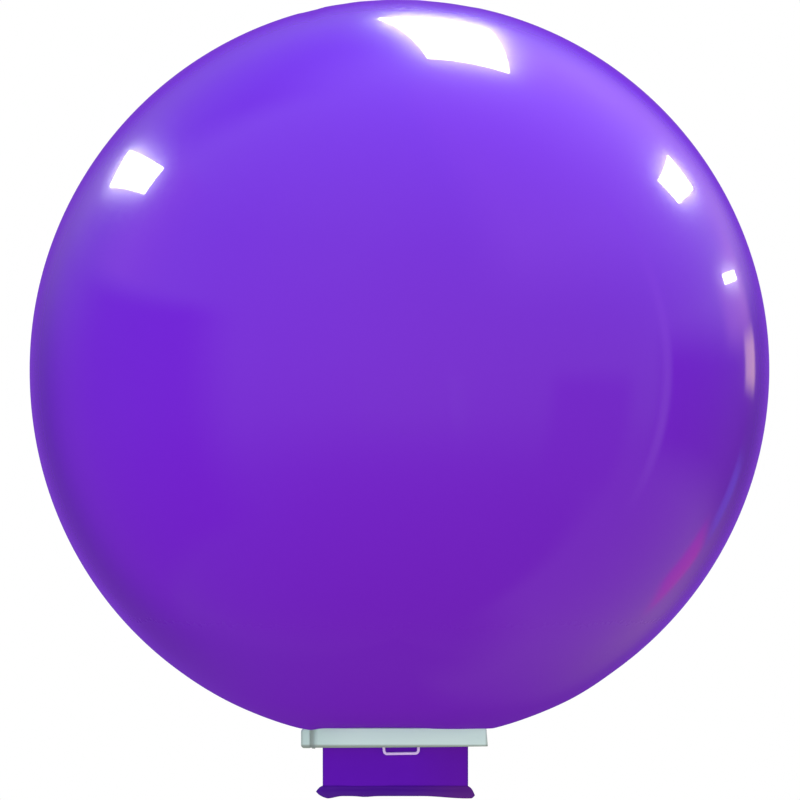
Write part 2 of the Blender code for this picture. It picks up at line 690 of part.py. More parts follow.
def main():
    clear_scene()
    film = make_material("balloon_film", (0.17, 0.03, 0.57), 0.12)
    bead_latex = make_material("bead_latex", (0.07, 0.01, 0.26), 0.35)
    clip_plastic = make_material("clip_plastic", (0.52, 0.64, 0.65), 0.35)
    loop_plastic = make_material("loop_plastic", (0.62, 0.55, 0.80), 0.3)
    pin_plastic = make_material("pin_plastic", (0.45, 0.52, 0.50), 0.4)
    build_envelope(film)
    build_sleeve(film)
    build_tail(film)
    build_bead(bead_latex)
    build_front_arm(clip_plastic)
    build_rear_arm(clip_plastic)
    build_pin(pin_plastic)
    build_tie_loop(loop_plastic)


main()
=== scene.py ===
"""Looks of a giant latex balloon, closed by a hinged bar clip that carries a small tie loop.

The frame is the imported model's own: metres, +Z up, +X to the right, the clip's plain face towards -Y.
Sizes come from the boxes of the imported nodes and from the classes' own fields. Every new piece is a
closed surface computed with numpy, or a merged and softened copy of a packed moulding.
"""

import logging
import math
from dataclasses import dataclass, field
from enum import Enum

import bmesh
import bpy
import numpy as np
from mathutils import Matrix, Vector


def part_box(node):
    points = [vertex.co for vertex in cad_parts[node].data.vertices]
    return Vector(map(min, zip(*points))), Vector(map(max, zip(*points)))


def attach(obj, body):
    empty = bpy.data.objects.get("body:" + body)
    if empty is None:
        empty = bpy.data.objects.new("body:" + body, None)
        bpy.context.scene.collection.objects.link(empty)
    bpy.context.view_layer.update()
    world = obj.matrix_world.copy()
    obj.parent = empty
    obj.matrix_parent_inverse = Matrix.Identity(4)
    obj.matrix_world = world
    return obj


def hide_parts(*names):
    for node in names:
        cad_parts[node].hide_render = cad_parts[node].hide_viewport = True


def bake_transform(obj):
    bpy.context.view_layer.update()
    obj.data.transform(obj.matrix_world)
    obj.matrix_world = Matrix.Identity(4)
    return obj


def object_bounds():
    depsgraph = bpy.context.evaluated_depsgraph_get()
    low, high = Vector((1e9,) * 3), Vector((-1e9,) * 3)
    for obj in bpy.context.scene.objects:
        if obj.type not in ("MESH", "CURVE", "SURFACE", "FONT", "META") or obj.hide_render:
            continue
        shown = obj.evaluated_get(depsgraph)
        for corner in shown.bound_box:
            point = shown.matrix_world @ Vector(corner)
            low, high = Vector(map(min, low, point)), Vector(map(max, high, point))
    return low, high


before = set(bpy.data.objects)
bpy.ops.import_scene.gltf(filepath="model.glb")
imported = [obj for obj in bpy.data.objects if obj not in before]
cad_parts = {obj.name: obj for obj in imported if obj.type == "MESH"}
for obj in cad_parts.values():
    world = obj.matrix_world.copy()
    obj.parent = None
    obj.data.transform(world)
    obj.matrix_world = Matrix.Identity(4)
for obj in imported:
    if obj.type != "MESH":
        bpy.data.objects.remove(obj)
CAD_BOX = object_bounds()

MM = 0.001
FULL_TURN = 2 * math.pi
MERGE_DISTANCE = 0.005 * MM
FLAT_ANGLE = math.radians(0.5)

Array = np.ndarray
Colour = tuple[float, float, float]
Point = tuple[float, float, float]
Pairs = tuple[tuple[float, float], ...]
Stops = tuple[tuple[float, Colour], ...]

log = logging.getLogger("balloon")


class Body(Enum):
    """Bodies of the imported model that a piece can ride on."""

    BALLOON = "balloon"
    REAR_ARM = "rear_arm"
    LOOP = "loop"
    TAIL = "tail"


class Slot(Enum):
    """Material slots of the record."""

    FILM = "balloon_film"
    BEAD = "bead_latex"
    CLIP = "clip_plastic"
    LOOP = "loop_plastic"
    PIN = "pin_plastic"


# ---------------------------------------------------------------- numbers


def smooth_step(values: Array, low: float, high: float) -> Array:
    """Rise from 0 at low to 1 at high as 3s^2 - 2s^3.

    Args:
        values: Where to work out the step.
        low: Place where it starts.
        high: Place where it ends; below low, the step falls instead.

    Returns:
        The step at each value.
    """
    share = np.clip((values - low) / (high - low), 0, 1)
    return share * share * (3 - 2 * share)


def window(values: Array, start: float, full: float, fade: float, end: float) -> Array:
    """Product of two steps: 0 at start, 1 from full to fade, and 0 again at end."""
    return smooth_step(values, start, full) * smooth_step(values, end, fade)


def bell(values: Array, centre: float, width: float) -> Array:
    """Gaussian hump exp(-((v - centre) / width)^2), 1 high."""
    return np.exp(-(((values - centre) / width) ** 2))


def super_oval(cosine: Array, power: Array | float) -> Array:
    """Half-height of a flat oval of unit size, (1 - |c|^p)^(1/p), at the place c along it."""
    return np.maximum(1 - np.abs(cosine) ** power, 0) ** (1 / power)


def full_turn(count: int) -> Array:
    """Angles 0, 2 pi / n, 4 pi / n and so on, once round."""
    return np.linspace(0, FULL_TURN, count, endpoint=False)


def side_of(turn: Array) -> Array:
    """Sign of sin t: 1 and -1 on the two sides of a flat oval, and 0 at its ends."""
    return np.sign(np.round(np.sin(turn), 9))


def rounded_path(corners: list[tuple[float, float]], radius: float, spacing: float) -> tuple[Array, Array]:
    """Plane path through its corners, with an arc at each inner one, sampled evenly.

    Each arc starts radius * tan(turn / 2) before its corner and turns about a centre to its side.

    Args:
        corners: The path's corners, in order.
        radius: Radius of every arc.
        spacing: Rough distance between the path's points.

    Returns:
        The points and the unit normals to their left, both of shape (count, 2).
    """
    spots = np.array(corners, float)
    ways = np.diff(spots, axis=0)
    ways /= np.linalg.norm(ways, axis=1, keepdims=True)
    lefts = np.stack((-ways[:, 1], ways[:, 0]), axis=1)
    way_in, way_out, left_in = ways[:-1], ways[1:], lefts[:-1]
    turn = np.arccos(np.clip((way_in * way_out).sum(axis=1), -1, 1))
    side = np.sign((left_in * way_out).sum(axis=1))[:, None]
    start = spots[1:-1] - way_in * radius * np.tan(turn / 2)[:, None]
    centre = start + side * radius * left_in
    angle = (side * turn[:, None] * np.linspace(0, 1, 9))[:, :, None]
    direction = np.cos(angle) * way_in[:, None] + np.sin(angle) * left_in[:, None]
    left = np.stack((-direction[..., 1], direction[..., 0]), axis=2)
    arcs = (centre[:, None] - side[:, None] * radius * left).reshape(-1, 2)
    return resampled(np.vstack((spots[:1], arcs, spots[-1:])), spacing)


def resampled(points: Array, spacing: float) -> tuple[Array, Array]:
    """The same path with evenly spaced points.

    Args:
        points: Points of the path, of shape (count, 2).
        spacing: Rough distance between the new points.

    Returns:
        The new points and the unit normals to their left.
    """
    steps = np.linalg.norm(np.diff(points, axis=0), axis=1)
    along = np.concatenate(((0,), np.cumsum(steps)))
    even = np.linspace(0, along[-1], max(int(along[-1] / spacing), 2) + 1)
    path = np.stack([np.interp(even, along, points[:, axis]) for axis in (0, 1)], axis=1)
    way = np.gradient(path, axis=0)
    way /= np.linalg.norm(way, axis=1, keepdims=True)
    return path, np.stack((-way[:, 1], way[:, 0]), axis=1)


# ---------------------------------------------------------------- meshes


class PieceMesh:
    """Collects grids of points and the faces between them, and makes one closed mesh of them."""

    def __init__(self) -> None:
        """Start with no points and no faces."""
        self.points: list[Array] = []
        self.faces: list[Array] = []
        self.count = 0

    def add_points(self, points: Array) -> Array:
        """Add points of any grid shape.

        Args:
            points: Places, with x, y and z along the last axis.

        Returns:
            The points' numbers, in the grid's shape.
        """
        shape = points.shape[:-1]
        flat = points.reshape(-1, 3)
        numbers = np.arange(self.count, self.count + len(flat)).reshape(shape)
        self.points.append(flat)
        self.count += len(flat)
        return numbers

    def add_band(self, first: Array, second: Array) -> None:
        """Faces between two closed rings of equally many points."""
        quads = np.stack((first, np.roll(first, -1), np.roll(second, -1), second), axis=1)
        self.faces.append(quads)

    def add_tube(self, rings: Array, closed: bool = False) -> Array:
        """Rings of points joined in order.

        Args:
            rings: Places, of shape (rings, points round a ring, 3).
            closed: Whether the last ring joins the first.

        Returns:
            The points' numbers, ring by ring.
        """
        numbers = self.add_points(rings)
        first = numbers if closed else numbers[:-1]
        second = np.roll(numbers, -1, axis=0) if closed else numbers[1:]
        quads = (first, np.roll(first, -1, axis=1), np.roll(second, -1, axis=1), second)
        self.faces.append(np.stack(quads, axis=2).reshape(-1, 4))
        return numbers

    def add_pole(self, ring: Array, place: Point) -> None:
        """Close a ring with triangles that meet in one point."""
        tip = self.add_points(np.array([place], float))[0]
        self.faces.append(np.stack((ring, np.roll(ring, -1), np.full_like(ring, tip)), axis=1))

    def enclosed_volume(self, places: Array) -> float:
        """Six times the volume inside the faces, as the sum of a . (b x c) over their triangles.

        Args:
            places: Every point of the mesh, of shape (count, 3).

        Returns:
            The sum; it is negative when the faces point inwards.
        """
        total = 0.0
        for faces in self.faces:
            corners = places[faces]
            for i in range(1, faces.shape[1] - 1):
                total += (corners[:, 0] * np.cross(corners[:, i], corners[:, i + 1])).sum()
        return float(total)

    def build(self, name: str) -> bpy.types.Object:
        """Make the object, with its faces pointing outwards and shaded smooth.

        Args:
            name: The piece's name.

        Returns:
            The object, at the origin, with its place in its mesh.
        """
        places = np.vstack(self.points)
        inside_out = self.enclosed_volume(places) < 0
        faces = [face[::-1] if inside_out else face for group in self.faces for face in group.tolist()]
        mesh = bpy.data.meshes.new(name)
        mesh.from_pydata(places, [], faces)
        mesh.update()
        mesh.shade_smooth()
        piece = bpy.data.objects.new(name, mesh)
        bpy.context.collection.objects.link(piece)
        return piece


def refined_copy(node: str, name: str, edge_width: float, sharp_angle: float) -> bpy.types.Object:
    """Copy of a packed moulding with its loose triangles merged and its edges softly rounded.

    Args:
        node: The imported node.
        name: The new piece's name.
        edge_width: Width of the rounding along its edges.
        sharp_angle: Angle between faces, in degrees, from which an edge is rounded.

    Returns:
        The new piece.
    """
    work = bmesh.new()
    work.from_mesh(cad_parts[node].data)
    bmesh.ops.remove_doubles(work, verts=work.verts, dist=MERGE_DISTANCE)
    bmesh.ops.dissolve_limit(work, angle_limit=FLAT_ANGLE, verts=work.verts, edges=work.edges)
    mesh = bpy.data.meshes.new(name)
    work.to_mesh(mesh)
    work.free()
    mesh.shade_smooth()
    mesh.set_sharp_from_angle(angle=math.radians(sharp_angle))
    piece = bpy.data.objects.new(name, mesh)
    bpy.context.collection.objects.link(piece)
    soften = piece.modifiers.new("rounded_edges", "BEVEL")
    soften.width = edge_width
    soften.segments = 3
    soften.limit_method = "ANGLE"
    soften.angle_limit = math.radians(sharp_angle)
    soften.use_clamp_overlap = True
    soften.harden_normals = True
    return piece


# ---------------------------------------------------------------- shader building


class ShaderValue:
    """A number flowing through a shader: an output socket on which arithmetic adds Math nodes."""

    def __init__(self, graph: "ShaderGraph", socket: bpy.types.NodeSocket) -> None:
        """Wrap a socket of a graph."""
        self.graph = graph
        self.socket = socket

    def __add__(self, other: "ShaderValue | float") -> "ShaderValue":
        """Sum."""
        return self.graph.math("ADD", self, other)

    __radd__ = __add__

    def __sub__(self, other: "ShaderValue | float") -> "ShaderValue":
        """Difference."""
        return self.graph.math("SUBTRACT", self, other)

    def __rsub__(self, other: float) -> "ShaderValue":
        """Difference with the number first."""
        return self.graph.math("SUBTRACT", other, self)

    def __mul__(self, other: "ShaderValue | float") -> "ShaderValue":
        """Product."""
        return self.graph.math("MULTIPLY", self, other)

    def __abs__(self) -> "ShaderValue":
        """Size without its sign."""
        return self.graph.math("ABSOLUTE", self)


class ShaderGraph:
    """Node tree of one material or world, built from plain calls."""

    def __init__(self, tree: bpy.types.NodeTree) -> None:
        """Empty the tree and build in it."""
        self.tree = tree
        tree.nodes.clear()

    def node(self, kind: str, settings: dict | None = None, inputs: dict | None = None) -> bpy.types.Node:
        """Add one node.

        Args:
            kind: The node's type, such as "ShaderNodeMath".
            settings: Properties to set first.
            inputs: Value or link for each socket, by name or number.

        Returns:
            The node.
        """
        node = self.tree.nodes.new(kind)
        for name, setting in (settings or {}).items():
            setattr(node, name, setting)
        for name, value in (inputs or {}).items():
            if isinstance(value, ShaderValue):
                self.tree.links.new(value.socket, node.inputs[name])
            else:
                node.inputs[name].default_value = value
        return node

    def output(self, node: bpy.types.Node, socket: str | int = 0) -> ShaderValue:
        """One of a node's outputs."""
        return ShaderValue(self, node.outputs[socket])

    def math(self, operation: str, *values: ShaderValue | float) -> ShaderValue:
        """Math node on one or two values."""
        return self.output(self.node("ShaderNodeMath", {"operation": operation}, dict(enumerate(values))))

    def step(self, value: ShaderValue, low: float, high: float) -> ShaderValue:
        """Smooth step 3s^2 - 2s^3 from 0 at low to 1 at high; it falls where high is below low.

        Args:
            value: Where to work out the step.
            low: Place where it starts.
            high: Place where it ends.

        Returns:
            The step at the value.
        """
        settings = {"interpolation_type": "SMOOTHSTEP", "clamp": True}
        if high < low:
            return 1 - self.step(value, high, low)
        inputs = {"Value": value, "From Min": low, "From Max": high}
        return self.output(self.node("ShaderNodeMapRange", settings, inputs), "Result")

    def ramp(self, value: ShaderValue, stops: Stops) -> ShaderValue:
        """Colour that runs through the stops as the value goes from 0 to 1.

        Args:
            value: Place along the ramp.
            stops: Places and colours, in rising order.

        Returns:
            The colour.
        """
        node = self.node("ShaderNodeValToRGB", None, {"Fac": value})
        elements = node.color_ramp.elements
        while len(elements) < len(stops):
            elements.new(1.0)
        for element, (place, colour) in zip(elements, stops):
            element.position = place
            element.color = (*colour, 1.0)
        return self.output(node, "Color")

    def mix(self, factor: ShaderValue, *ends: ShaderValue | Colour) -> ShaderValue:
        """Colour between two ends, each a link or a plain colour, as a + f (b - a)."""
        first, second = (end if isinstance(end, ShaderValue) else (*end, 1.0) for end in ends)
        inputs = {0: factor, 6: first, 7: second}
        return self.output(self.node("ShaderNodeMix", {"data_type": "RGBA"}, inputs), 2)

    def within(self, angle: ShaderValue, centre: float, half: float, softness: float) -> ShaderValue:
        """1 where the angle is within half of the centre, falling to 0 over the softness."""
        return self.step(abs(angle - centre), half + softness / 2, half - softness / 2)

    def place(self) -> tuple[ShaderValue, ShaderValue, ShaderValue, ShaderValue]:
        """Object coordinates: the vector, and its x, y and z in metres."""
        vector = self.output(self.node("ShaderNodeTexCoord"), "Object")
        return vector, *self.parts(vector)

    def parts(self, vector: ShaderValue) -> tuple[ShaderValue, ShaderValue, ShaderValue]:
        """The three numbers of a vector."""
        split = self.node("ShaderNodeSeparateXYZ", None, {"Vector": vector})
        return self.output(split, "X"), self.output(split, "Y"), self.output(split, "Z")

    def stretched(self, vector: ShaderValue, scale: Point) -> ShaderValue:
        """The vector with each axis scaled, so that a pattern is longer one way than the other."""
        return self.output(self.node("ShaderNodeMapping", None, {"Vector": vector, "Scale": scale}))

    def noise(self, vector: ShaderValue, scale: float, detail: float = 2.0) -> ShaderValue:
        """Soft noise from 0 to 1; scale is in waves per metre."""
        inputs = {"Vector": vector, "Scale": scale, "Detail": detail}
        return self.output(self.node("ShaderNodeTexNoise", None, inputs), "Fac")

    def bump(self, height: ShaderValue, distance: float) -> ShaderValue:
        """Normal of a relief; distance is the relief's depth in metres."""
        inputs = {"Height": height, "Distance": distance, "Strength": 1.0}
        return self.output(self.node("ShaderNodeBump", None, inputs), "Normal")

    def surface(self, inputs: dict) -> None:
        """Principled surface with these inputs, led to the material's output."""
        shader = self.node("ShaderNodeBsdfPrincipled", None, inputs)
        self.node("ShaderNodeOutputMaterial", None, {"Surface": self.output(shader)})


def new_material(name: str) -> tuple[bpy.types.Material, ShaderGraph]:
    """An empty material and the graph that fills it."""
    material = bpy.data.materials.new(name)
    material.use_nodes = True
    return material, ShaderGraph(material.node_tree)


# ---------------------------------------------------------------- finishes


@dataclass(frozen=True)
class LatexFinish:
    """Coloured latex film: its blown skin is glossy, and it is deeper in colour where it is thick.

    low_colour and high_colour run up the piece between low_z and high_z; on the blown skin this is
    painted light, redder below and bluer above. The gloss fades in between dull_z and gloss_z, because
    the film is stretched less near the clip. Painted shade deepens the two folded side edges, which lie
    at edge_low_x and edge_high_x. right_colour, if given, takes over between right_start_x and
    right_end_x.
    """

    name: str
    low_colour: Colour
    high_colour: Colour
    low_z: float
    high_z: float
    dull_z: float = -2.0
    gloss_z: float = -1.0
    roughness: float = 0.3
    dull_roughness: float = 0.95
    specular: float = 0.2
    coat: float = 1.0
    coat_roughness: float = 0.04
    mottle: float = 0.06
    mottle_scale: float = 9.0
    relief: float = 0.02 * MM
    relief_scale: float = 60.0
    grain: Point = (1.0, 1.0, 1.0)
    edge_low_x: float = -10.0
    edge_high_x: float = 10.0
    edge_width: float = 2.5 * MM
    fold_edge_shade: float = 0.0
    edge_depth: float = 0.45
    roughness_swing: float = 0.08
    ior: float = 1.5
    right_colour: Colour | None = None
    right_start_x: float = 0.0
    right_end_x: float = 0.1

    def build(self) -> bpy.types.Material:
        """Make the material.

        Returns:
            The material, which reads Object coordinates.
        """
        material, graph = new_material(self.name)
        vector, x, _, z = graph.place()
        # Colour rising with height; on the blown skin this is painted light.
        rise = graph.step(z, self.low_z, self.high_z)
        colour = graph.mix(rise, self.low_colour, self.high_colour)
        if self.right_colour:
            right = graph.step(x, self.right_start_x, self.right_end_x)
            colour = graph.mix(right, colour, self.right_colour)
        cloud = graph.noise(vector, self.mottle_scale, 3.0)
        lighter = tuple(min(1.0, part * 1.12 + 0.01) for part in self.high_colour)
        colour = graph.mix((cloud - 0.5) * self.mottle + self.mottle / 2, colour, lighter)
        # Painted shade on the two folded side edges.
        if self.fold_edge_shade:
            left = graph.step(x, self.edge_low_x + self.edge_width, self.edge_low_x)
            right = graph.step(x, self.edge_high_x - self.edge_width, self.edge_high_x)
            deep = tuple(part * self.edge_depth for part in self.low_colour)
            colour = graph.mix((left + right) * self.fold_edge_shade, colour, deep)
        grained = graph.stretched(vector, self.grain)
        fine = graph.noise(grained, self.relief_scale, 4.0)
        swing = graph.noise(vector, self.relief_scale * 3, 2.0) - 0.5
        roughness = self.roughness + swing * self.roughness_swing
        gloss = graph.step(z, self.dull_z, self.gloss_z)
        roughness = roughness + (1.0 - gloss) * (self.dull_roughness - self.roughness)
        graph.surface({
            "Base Color": colour,
            "Roughness": roughness,
            "IOR": self.ior,
            "Specular IOR Level": self.specular,
            "Coat Weight": gloss * self.coat,
            "Coat Roughness": self.coat_roughness,
            "Coat IOR": self.ior,
            "Normal": graph.bump(fine, self.relief),
        })
        return material


@dataclass(frozen=True)
class MouldedPlasticFinish:
    """Moulded plastic with flow clouds, a fine satin grain, and painted shade along its lower edge, at its
    ends and in its groove.

    colour is the face's; warm_colour shows where the melt ran last. Painted shade darkens the band within
    under_width of the lower edge at under_z, and more thinly both ends. groove_shade is painted shade in
    the valley from groove_x, where it is darkest, to groove_end_x.
    """

    name: str
    colour: Colour
    warm_colour: Colour
    edge_shade_colour: Colour
    under_z: float
    under_width: float
    start_x: float
    end_x: float
    start_shade: float = 1.0
    left_x: float = -10.0
    right_x: float = 10.0
    groove_x: float = -10.0
    groove_end_x: float = -9.0
    groove_shade: float = 0.0
    groove_shade_colour: Colour = (0.24, 0.29, 0.28)
    groove_reach: tuple[float, float, float] = (-1.6 * MM, 0.4 * MM, 2.0 * MM)
    under_shade_share: float = 0.8
    ends_shade_share: float = 0.55
    flow_grain: Point = (0.35, 1.0, 1.0)
    wave_grain: Point = (0.4, 1.0, 1.0)
    wave_share: float = 3.0
    roughness: float = 0.34
    roughness_swing: float = 0.12
    coat: float = 0.0
    cloud: float = 0.35
    cloud_scale: float = 45.0
    grain_depth: float = 0.012 * MM
    grain_scale: float = 2600.0

    def build(self) -> bpy.types.Material:
        """Make the material.

        Returns:
            The material, which reads Object coordinates.
        """
        material, graph = new_material(self.name)
        vector, x, _, z = graph.place()
        flow = graph.noise(graph.stretched(vector, self.flow_grain), self.cloud_scale, 3.0)
        colour = graph.mix((flow - 0.5) * self.cloud + self.cloud / 2, self.colour, self.warm_colour)
        shaded = tuple(part * self.start_shade for part in self.colour)
        colour = graph.mix(graph.step(x, self.end_x, self.start_x), colour, shaded)
        # Painted shade: the band along the lower edge and both ends are darkened.
        under = graph.step(z, self.under_z + self.under_width, self.under_z)
        ends = graph.step(x, self.left_x + self.under_width, self.left_x)
        ends = ends + graph.step(x, self.right_x - self.under_width, self.right_x)
        colour = graph.mix(under * self.under_shade_share, colour, self.edge_shade_colour)
        colour = graph.mix(ends * self.ends_shade_share, colour, self.edge_shade_colour)
        # Painted shade in the hinge groove's valley.
        if self.groove_shade:
            start, dark, fade = (self.groove_x + reach for reach in self.groove_reach)
            valley = graph.step(x, start, dark) * graph.step(x, self.groove_end_x, fade)
            colour = graph.mix(valley * self.groove_shade, colour, self.groove_shade_colour)
        grain = graph.noise(vector, self.grain_scale, 3.0)
        wave = graph.noise(graph.stretched(vector, self.wave_grain), self.cloud_scale * 2, 1.0)
        swing = graph.noise(vector, self.cloud_scale * 6, 3.0) - 0.5
        graph.surface({
            "Base Color": colour,
            "Roughness": self.roughness + swing * self.roughness_swing,
            "IOR": 1.49,
            "Coat Weight": self.coat,
            "Coat Roughness": 0.1,
            "Specular IOR Level": 0.4,
            "Normal": graph.bump(grain + wave * self.wave_share, self.grain_depth),
        })
        return material


@dataclass(frozen=True)
class StageFinish:
    """Plain pale matt floor with the faintest clouding."""

    name: str = "pale_floor"
    colour: Colour = (0.82, 0.81, 0.62)
    clouded_colour: Colour = (0.79, 0.78, 0.6)
    cloud_scale: float = 1.5
    roughness: float = 0.9

    def build(self) -> bpy.types.Material:
        """Make the material.

        Returns:
            The material, which reads Object coordinates.
        """
        material, graph = new_material(self.name)
        vector = graph.place()[0]
        colour = graph.mix(graph.noise(vector, self.cloud_scale), self.colour, self.clouded_colour)
        graph.surface({"Base Color": colour, "Roughness": self.roughness})
        return material


Finish = LatexFinish | MouldedPlasticFinish


def dress(piece: bpy.types.Object, finish: Finish, nodes: list[str], body: Body | None) -> None:
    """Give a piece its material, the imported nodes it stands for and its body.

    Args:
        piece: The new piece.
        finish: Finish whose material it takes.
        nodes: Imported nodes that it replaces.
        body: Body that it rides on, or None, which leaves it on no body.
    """
    piece.data.materials.clear()
    piece.data.materials.append(finish.build())
    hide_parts(*nodes)
    if body is not None:
        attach(piece, body.value)
    faces = len(piece.data.polygons)
    log.info("%s: %d faces, stands for %s", piece.name, faces, ", ".join(nodes))


# ---------------------------------------------------------------- the balloon's latex


@dataclass(frozen=True)
class Neck:
    """Sizes of the flat neck, taken from its packed tail."""

    centre_x: float
    half_width: float
    wall: float = 0.4 * MM
    slit: float = 0.3 * MM
    edge_power: float = 10.0
    spare: float = 0.4 * MM

    @classmethod
    def from_frame(cls) -> "Neck":
        """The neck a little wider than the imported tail."""
        low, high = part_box("neck_tail")
        return cls((low[0] + high[0]) / 2, (high[0] - low[0]) / 2 + cls.spare)

    @property
    def half_depth(self) -> float:
        """Half of the two layers and the slit between them."""
        return self.wall + self.slit / 2


@dataclass
class BalloonSkin:
    """The blown skin: a sphere, a little fuller and drawn to the left below, shut by the clip.

    It is a shell with an outer and an inner skin, open only at the neck's slit.
    """

    neck: Neck
    finish: LatexFinish
    clip_top_z: float
    film_wall: float = 0.15 * MM
    rest_gap: float = 0.3 * MM
    join_height: float = 31.0 * MM
    fullness: float = 4.4 * MM
    drift: float = -3.4 * MM
    front_slope: float = 0.045
    front_bend: float = 3.0 * MM
    sags: tuple[Point, ...] = (
        (-86 * MM, 6.5 * MM, 1.3 * MM),
        (46 * MM, 24 * MM, 1.0 * MM),
        (-6 * MM, 30 * MM, 0.15 * MM),
    )
    sag_reach: tuple[float, ...] = (4 * MM, 16 * MM, 55 * MM, 110 * MM)
    pleat_reach: tuple[float, ...] = (2 * MM, 12 * MM, 20 * MM, 60 * MM)
    left_shoulder: float = 1.0 * MM
    right_shoulder: float = 3.0 * MM
    shoulder_z: float = 128 * MM
    shoulder_rise: float = 36 * MM
    pleat_depth: float = 0.12 * MM
    pleat_count: int = 15
    columns: int = 288
    collar_rows: int = 7
    belly_rows: int = 64
    sphere_rows: int = 150
    fine_inner_rows: int = 76
    inner_row_step: int = 4
    radius: float = field(init=False)
    centre_z: float = field(init=False)

    def __post_init__(self) -> None:
        """Take the sphere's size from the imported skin's box."""
        low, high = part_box("balloon_envelope")
        self.radius = (high[0] - low[0]) / 2
        self.centre_z = high[2] - self.radius

    @property
    def floor_z(self) -> float:
        """Height of the film that lies on the clip."""
        return self.clip_top_z + self.rest_gap

    @property
    def join_z(self) -> float:
        """Height at which the belly becomes a part of the sphere."""
        return self.floor_z + self.join_height

    def lower_share(self, z: Array | float, power: float) -> Array:
        """0 at the centre's height and above, 1 at the clip, risen to a power."""
        depth = np.maximum(self.centre_z - z, 0) / (self.centre_z - self.floor_z)
        return depth**power

    def half_width(self, z: Array | float) -> Array:
        """Half-width sqrt(R^2 - h^2) of the sphere, plus the fullness of the lower half."""
        round_half = np.sqrt(np.maximum(self.radius**2 - (z - self.centre_z) ** 2, 0))
        return round_half + self.fullness * self.lower_share(z, 1.6)

    def centre_line_x(self, z: Array, neck_share: Array) -> Array:
        """Middle of a row: it drifts left below, and ends at the neck's middle."""
        drifted = self.drift * self.lower_share(z, 1.4)
        return drifted * (1 - neck_share) + self.neck.centre_x * neck_share

    def shoulder(self, z: Array, cosine: Array) -> Array:
        """Extra reach along X just above the clip, where the film stands out over the clip's ends."""
        reach = np.where(cosine > 0, self.right_shoulder, self.left_shoulder) * np.sign(cosine)
        return reach * cosine**2 * smooth_step(z, self.shoulder_z, self.shoulder_z - self.shoulder_rise)

    def belly_height(self, share: Array) -> Array:
        """Height of the belly along Y, from the neck (0) to the join (1).

        It is floor + k (sqrt(y^2 + w^2) - w) + a s^2 + b s^4, where the first term lifts the film
        clear of the clip's front edge, and a and b make it meet the sphere with the same slope.

        Args:
            share: Places along the way.

        Returns:
            The height at each.
        """
        join_half = float(self.half_width(self.join_z))
        rise = self.join_z - self.floor_z
        lift_end = self.front_slope * (math.hypot(join_half, self.front_bend) - self.front_bend)
        lift_slope = self.front_slope * join_half**2 / math.hypot(join_half, self.front_bend)
        sphere_slope = join_half**2 / (self.centre_z - self.join_z)
        left_rise, left_slope = rise - lift_end, sphere_slope - lift_slope
        quartic = (left_slope - 2 * left_rise) / 2
        square = left_rise - quartic
        lift = self.front_slope * (np.hypot(share * join_half, self.front_bend) - self.front_bend)
        return self.floor_z + lift + square * share**2 + quartic * share**4

    def rows(self) -> tuple[Array, Array, Array, Array, Array, Array]:
        """Every row from the neck's slit to just under the pole.

        Returns:
            Half-width, half-depth, height along X, height along Y, squareness and neck share of each.
        """
        neck, gap = self.neck, self.rest_gap
        bend = np.radians(np.linspace(180, 90, self.collar_rows - 1))
        collar = np.concatenate(((0.0,), gap * (1 + np.cos(bend))))
        collar_z = self.floor_z - gap + np.concatenate(((-gap,), gap * np.sin(bend)))
        share = np.linspace(0, 1, self.belly_rows + 1)[1:-1] ** 1.25
        join_half = float(self.half_width(self.join_z))
        across = neck.half_width + (join_half - neck.half_width) * share
        deep = neck.half_depth + (join_half - neck.half_depth) * share
        levels = np.linspace(self.floor_z, self.join_z, 200)
        along_x = np.interp(across, self.half_width(levels), levels)
        join_angle = math.acos((self.join_z - self.centre_z) / self.radius)
        top = np.linspace(join_angle, 0, self.sphere_rows + 1)
        sphere_z = self.centre_z + self.radius * np.cos(top[:-1])
        round_half = self.half_width(sphere_z)
        collar_ones, sphere_ones = np.ones(self.collar_rows), np.ones(self.sphere_rows)
        powers = (neck.edge_power * collar_ones, 2 + 6 * (1 - share) ** 4, 2 * sphere_ones)
        return (
            np.concatenate((neck.half_width + collar, across, round_half)),
            np.concatenate((neck.half_depth + collar, deep, round_half)),
            np.concatenate((collar_z, along_x, sphere_z)),
            np.concatenate((collar_z, self.belly_height(share), sphere_z)),
            np.concatenate(powers),
            np.concatenate((collar_ones, 1 - share, 0 * sphere_ones)),
        )

    def sag(self, places: Array) -> Array:
        """How far the belly hangs over the clip's front edge, as humps along X and fine pleats.

        Each hump is a Gaussian along X. All of it is shut in between the clip's front face and the
        place where the belly turns up, so the film stays above the clip.

        Args:
            places: Points of the skin, with x, y and z along the last axis.

        Returns:
            How far each hangs down.
        """
        x, y = places[..., 0], places[..., 1]
        depth = sum(amount * bell(x, middle, width) for middle, width, amount in self.sags)
        half = self.neck.half_width
        pleats = self.pleat_depth * np.sin(self.pleat_count * x / half + 0.6)
        inside = smooth_step(np.abs(x - self.neck.centre_x), 1.3 * half, half)
        front = window(-y, *self.sag_reach)
        return depth * front + pleats * window(np.abs(y), *self.pleat_reach) * inside

    def outer_skin(self) -> tuple[Array, Array]:
        """Rows of the outer skin.

        A row is x = A cos t, y = B (1 - |cos t|^p)^(1/p), and its height goes from the one along X to
        the one along Y with sin^2 t.

        Returns:
            The places, of shape (rows, columns, 3), and each row's neck share.
        """
        across, deep, z_x, z_y, power, neck_share = (row[:, None] for row in self.rows())
        turn = full_turn(self.columns)[None, :]
        cosine = np.cos(turn)
        z = z_x * cosine**2 + z_y * np.sin(turn) ** 2
        x = across * cosine + self.centre_line_x(z, neck_share)
        x = x + self.shoulder(z, cosine) * (neck_share < 1)
        y = deep * super_oval(cosine, power) * side_of(turn)
        places = np.stack((x, y, z), axis=2)
        places[..., 2] -= self.sag(places)
        return places, neck_share

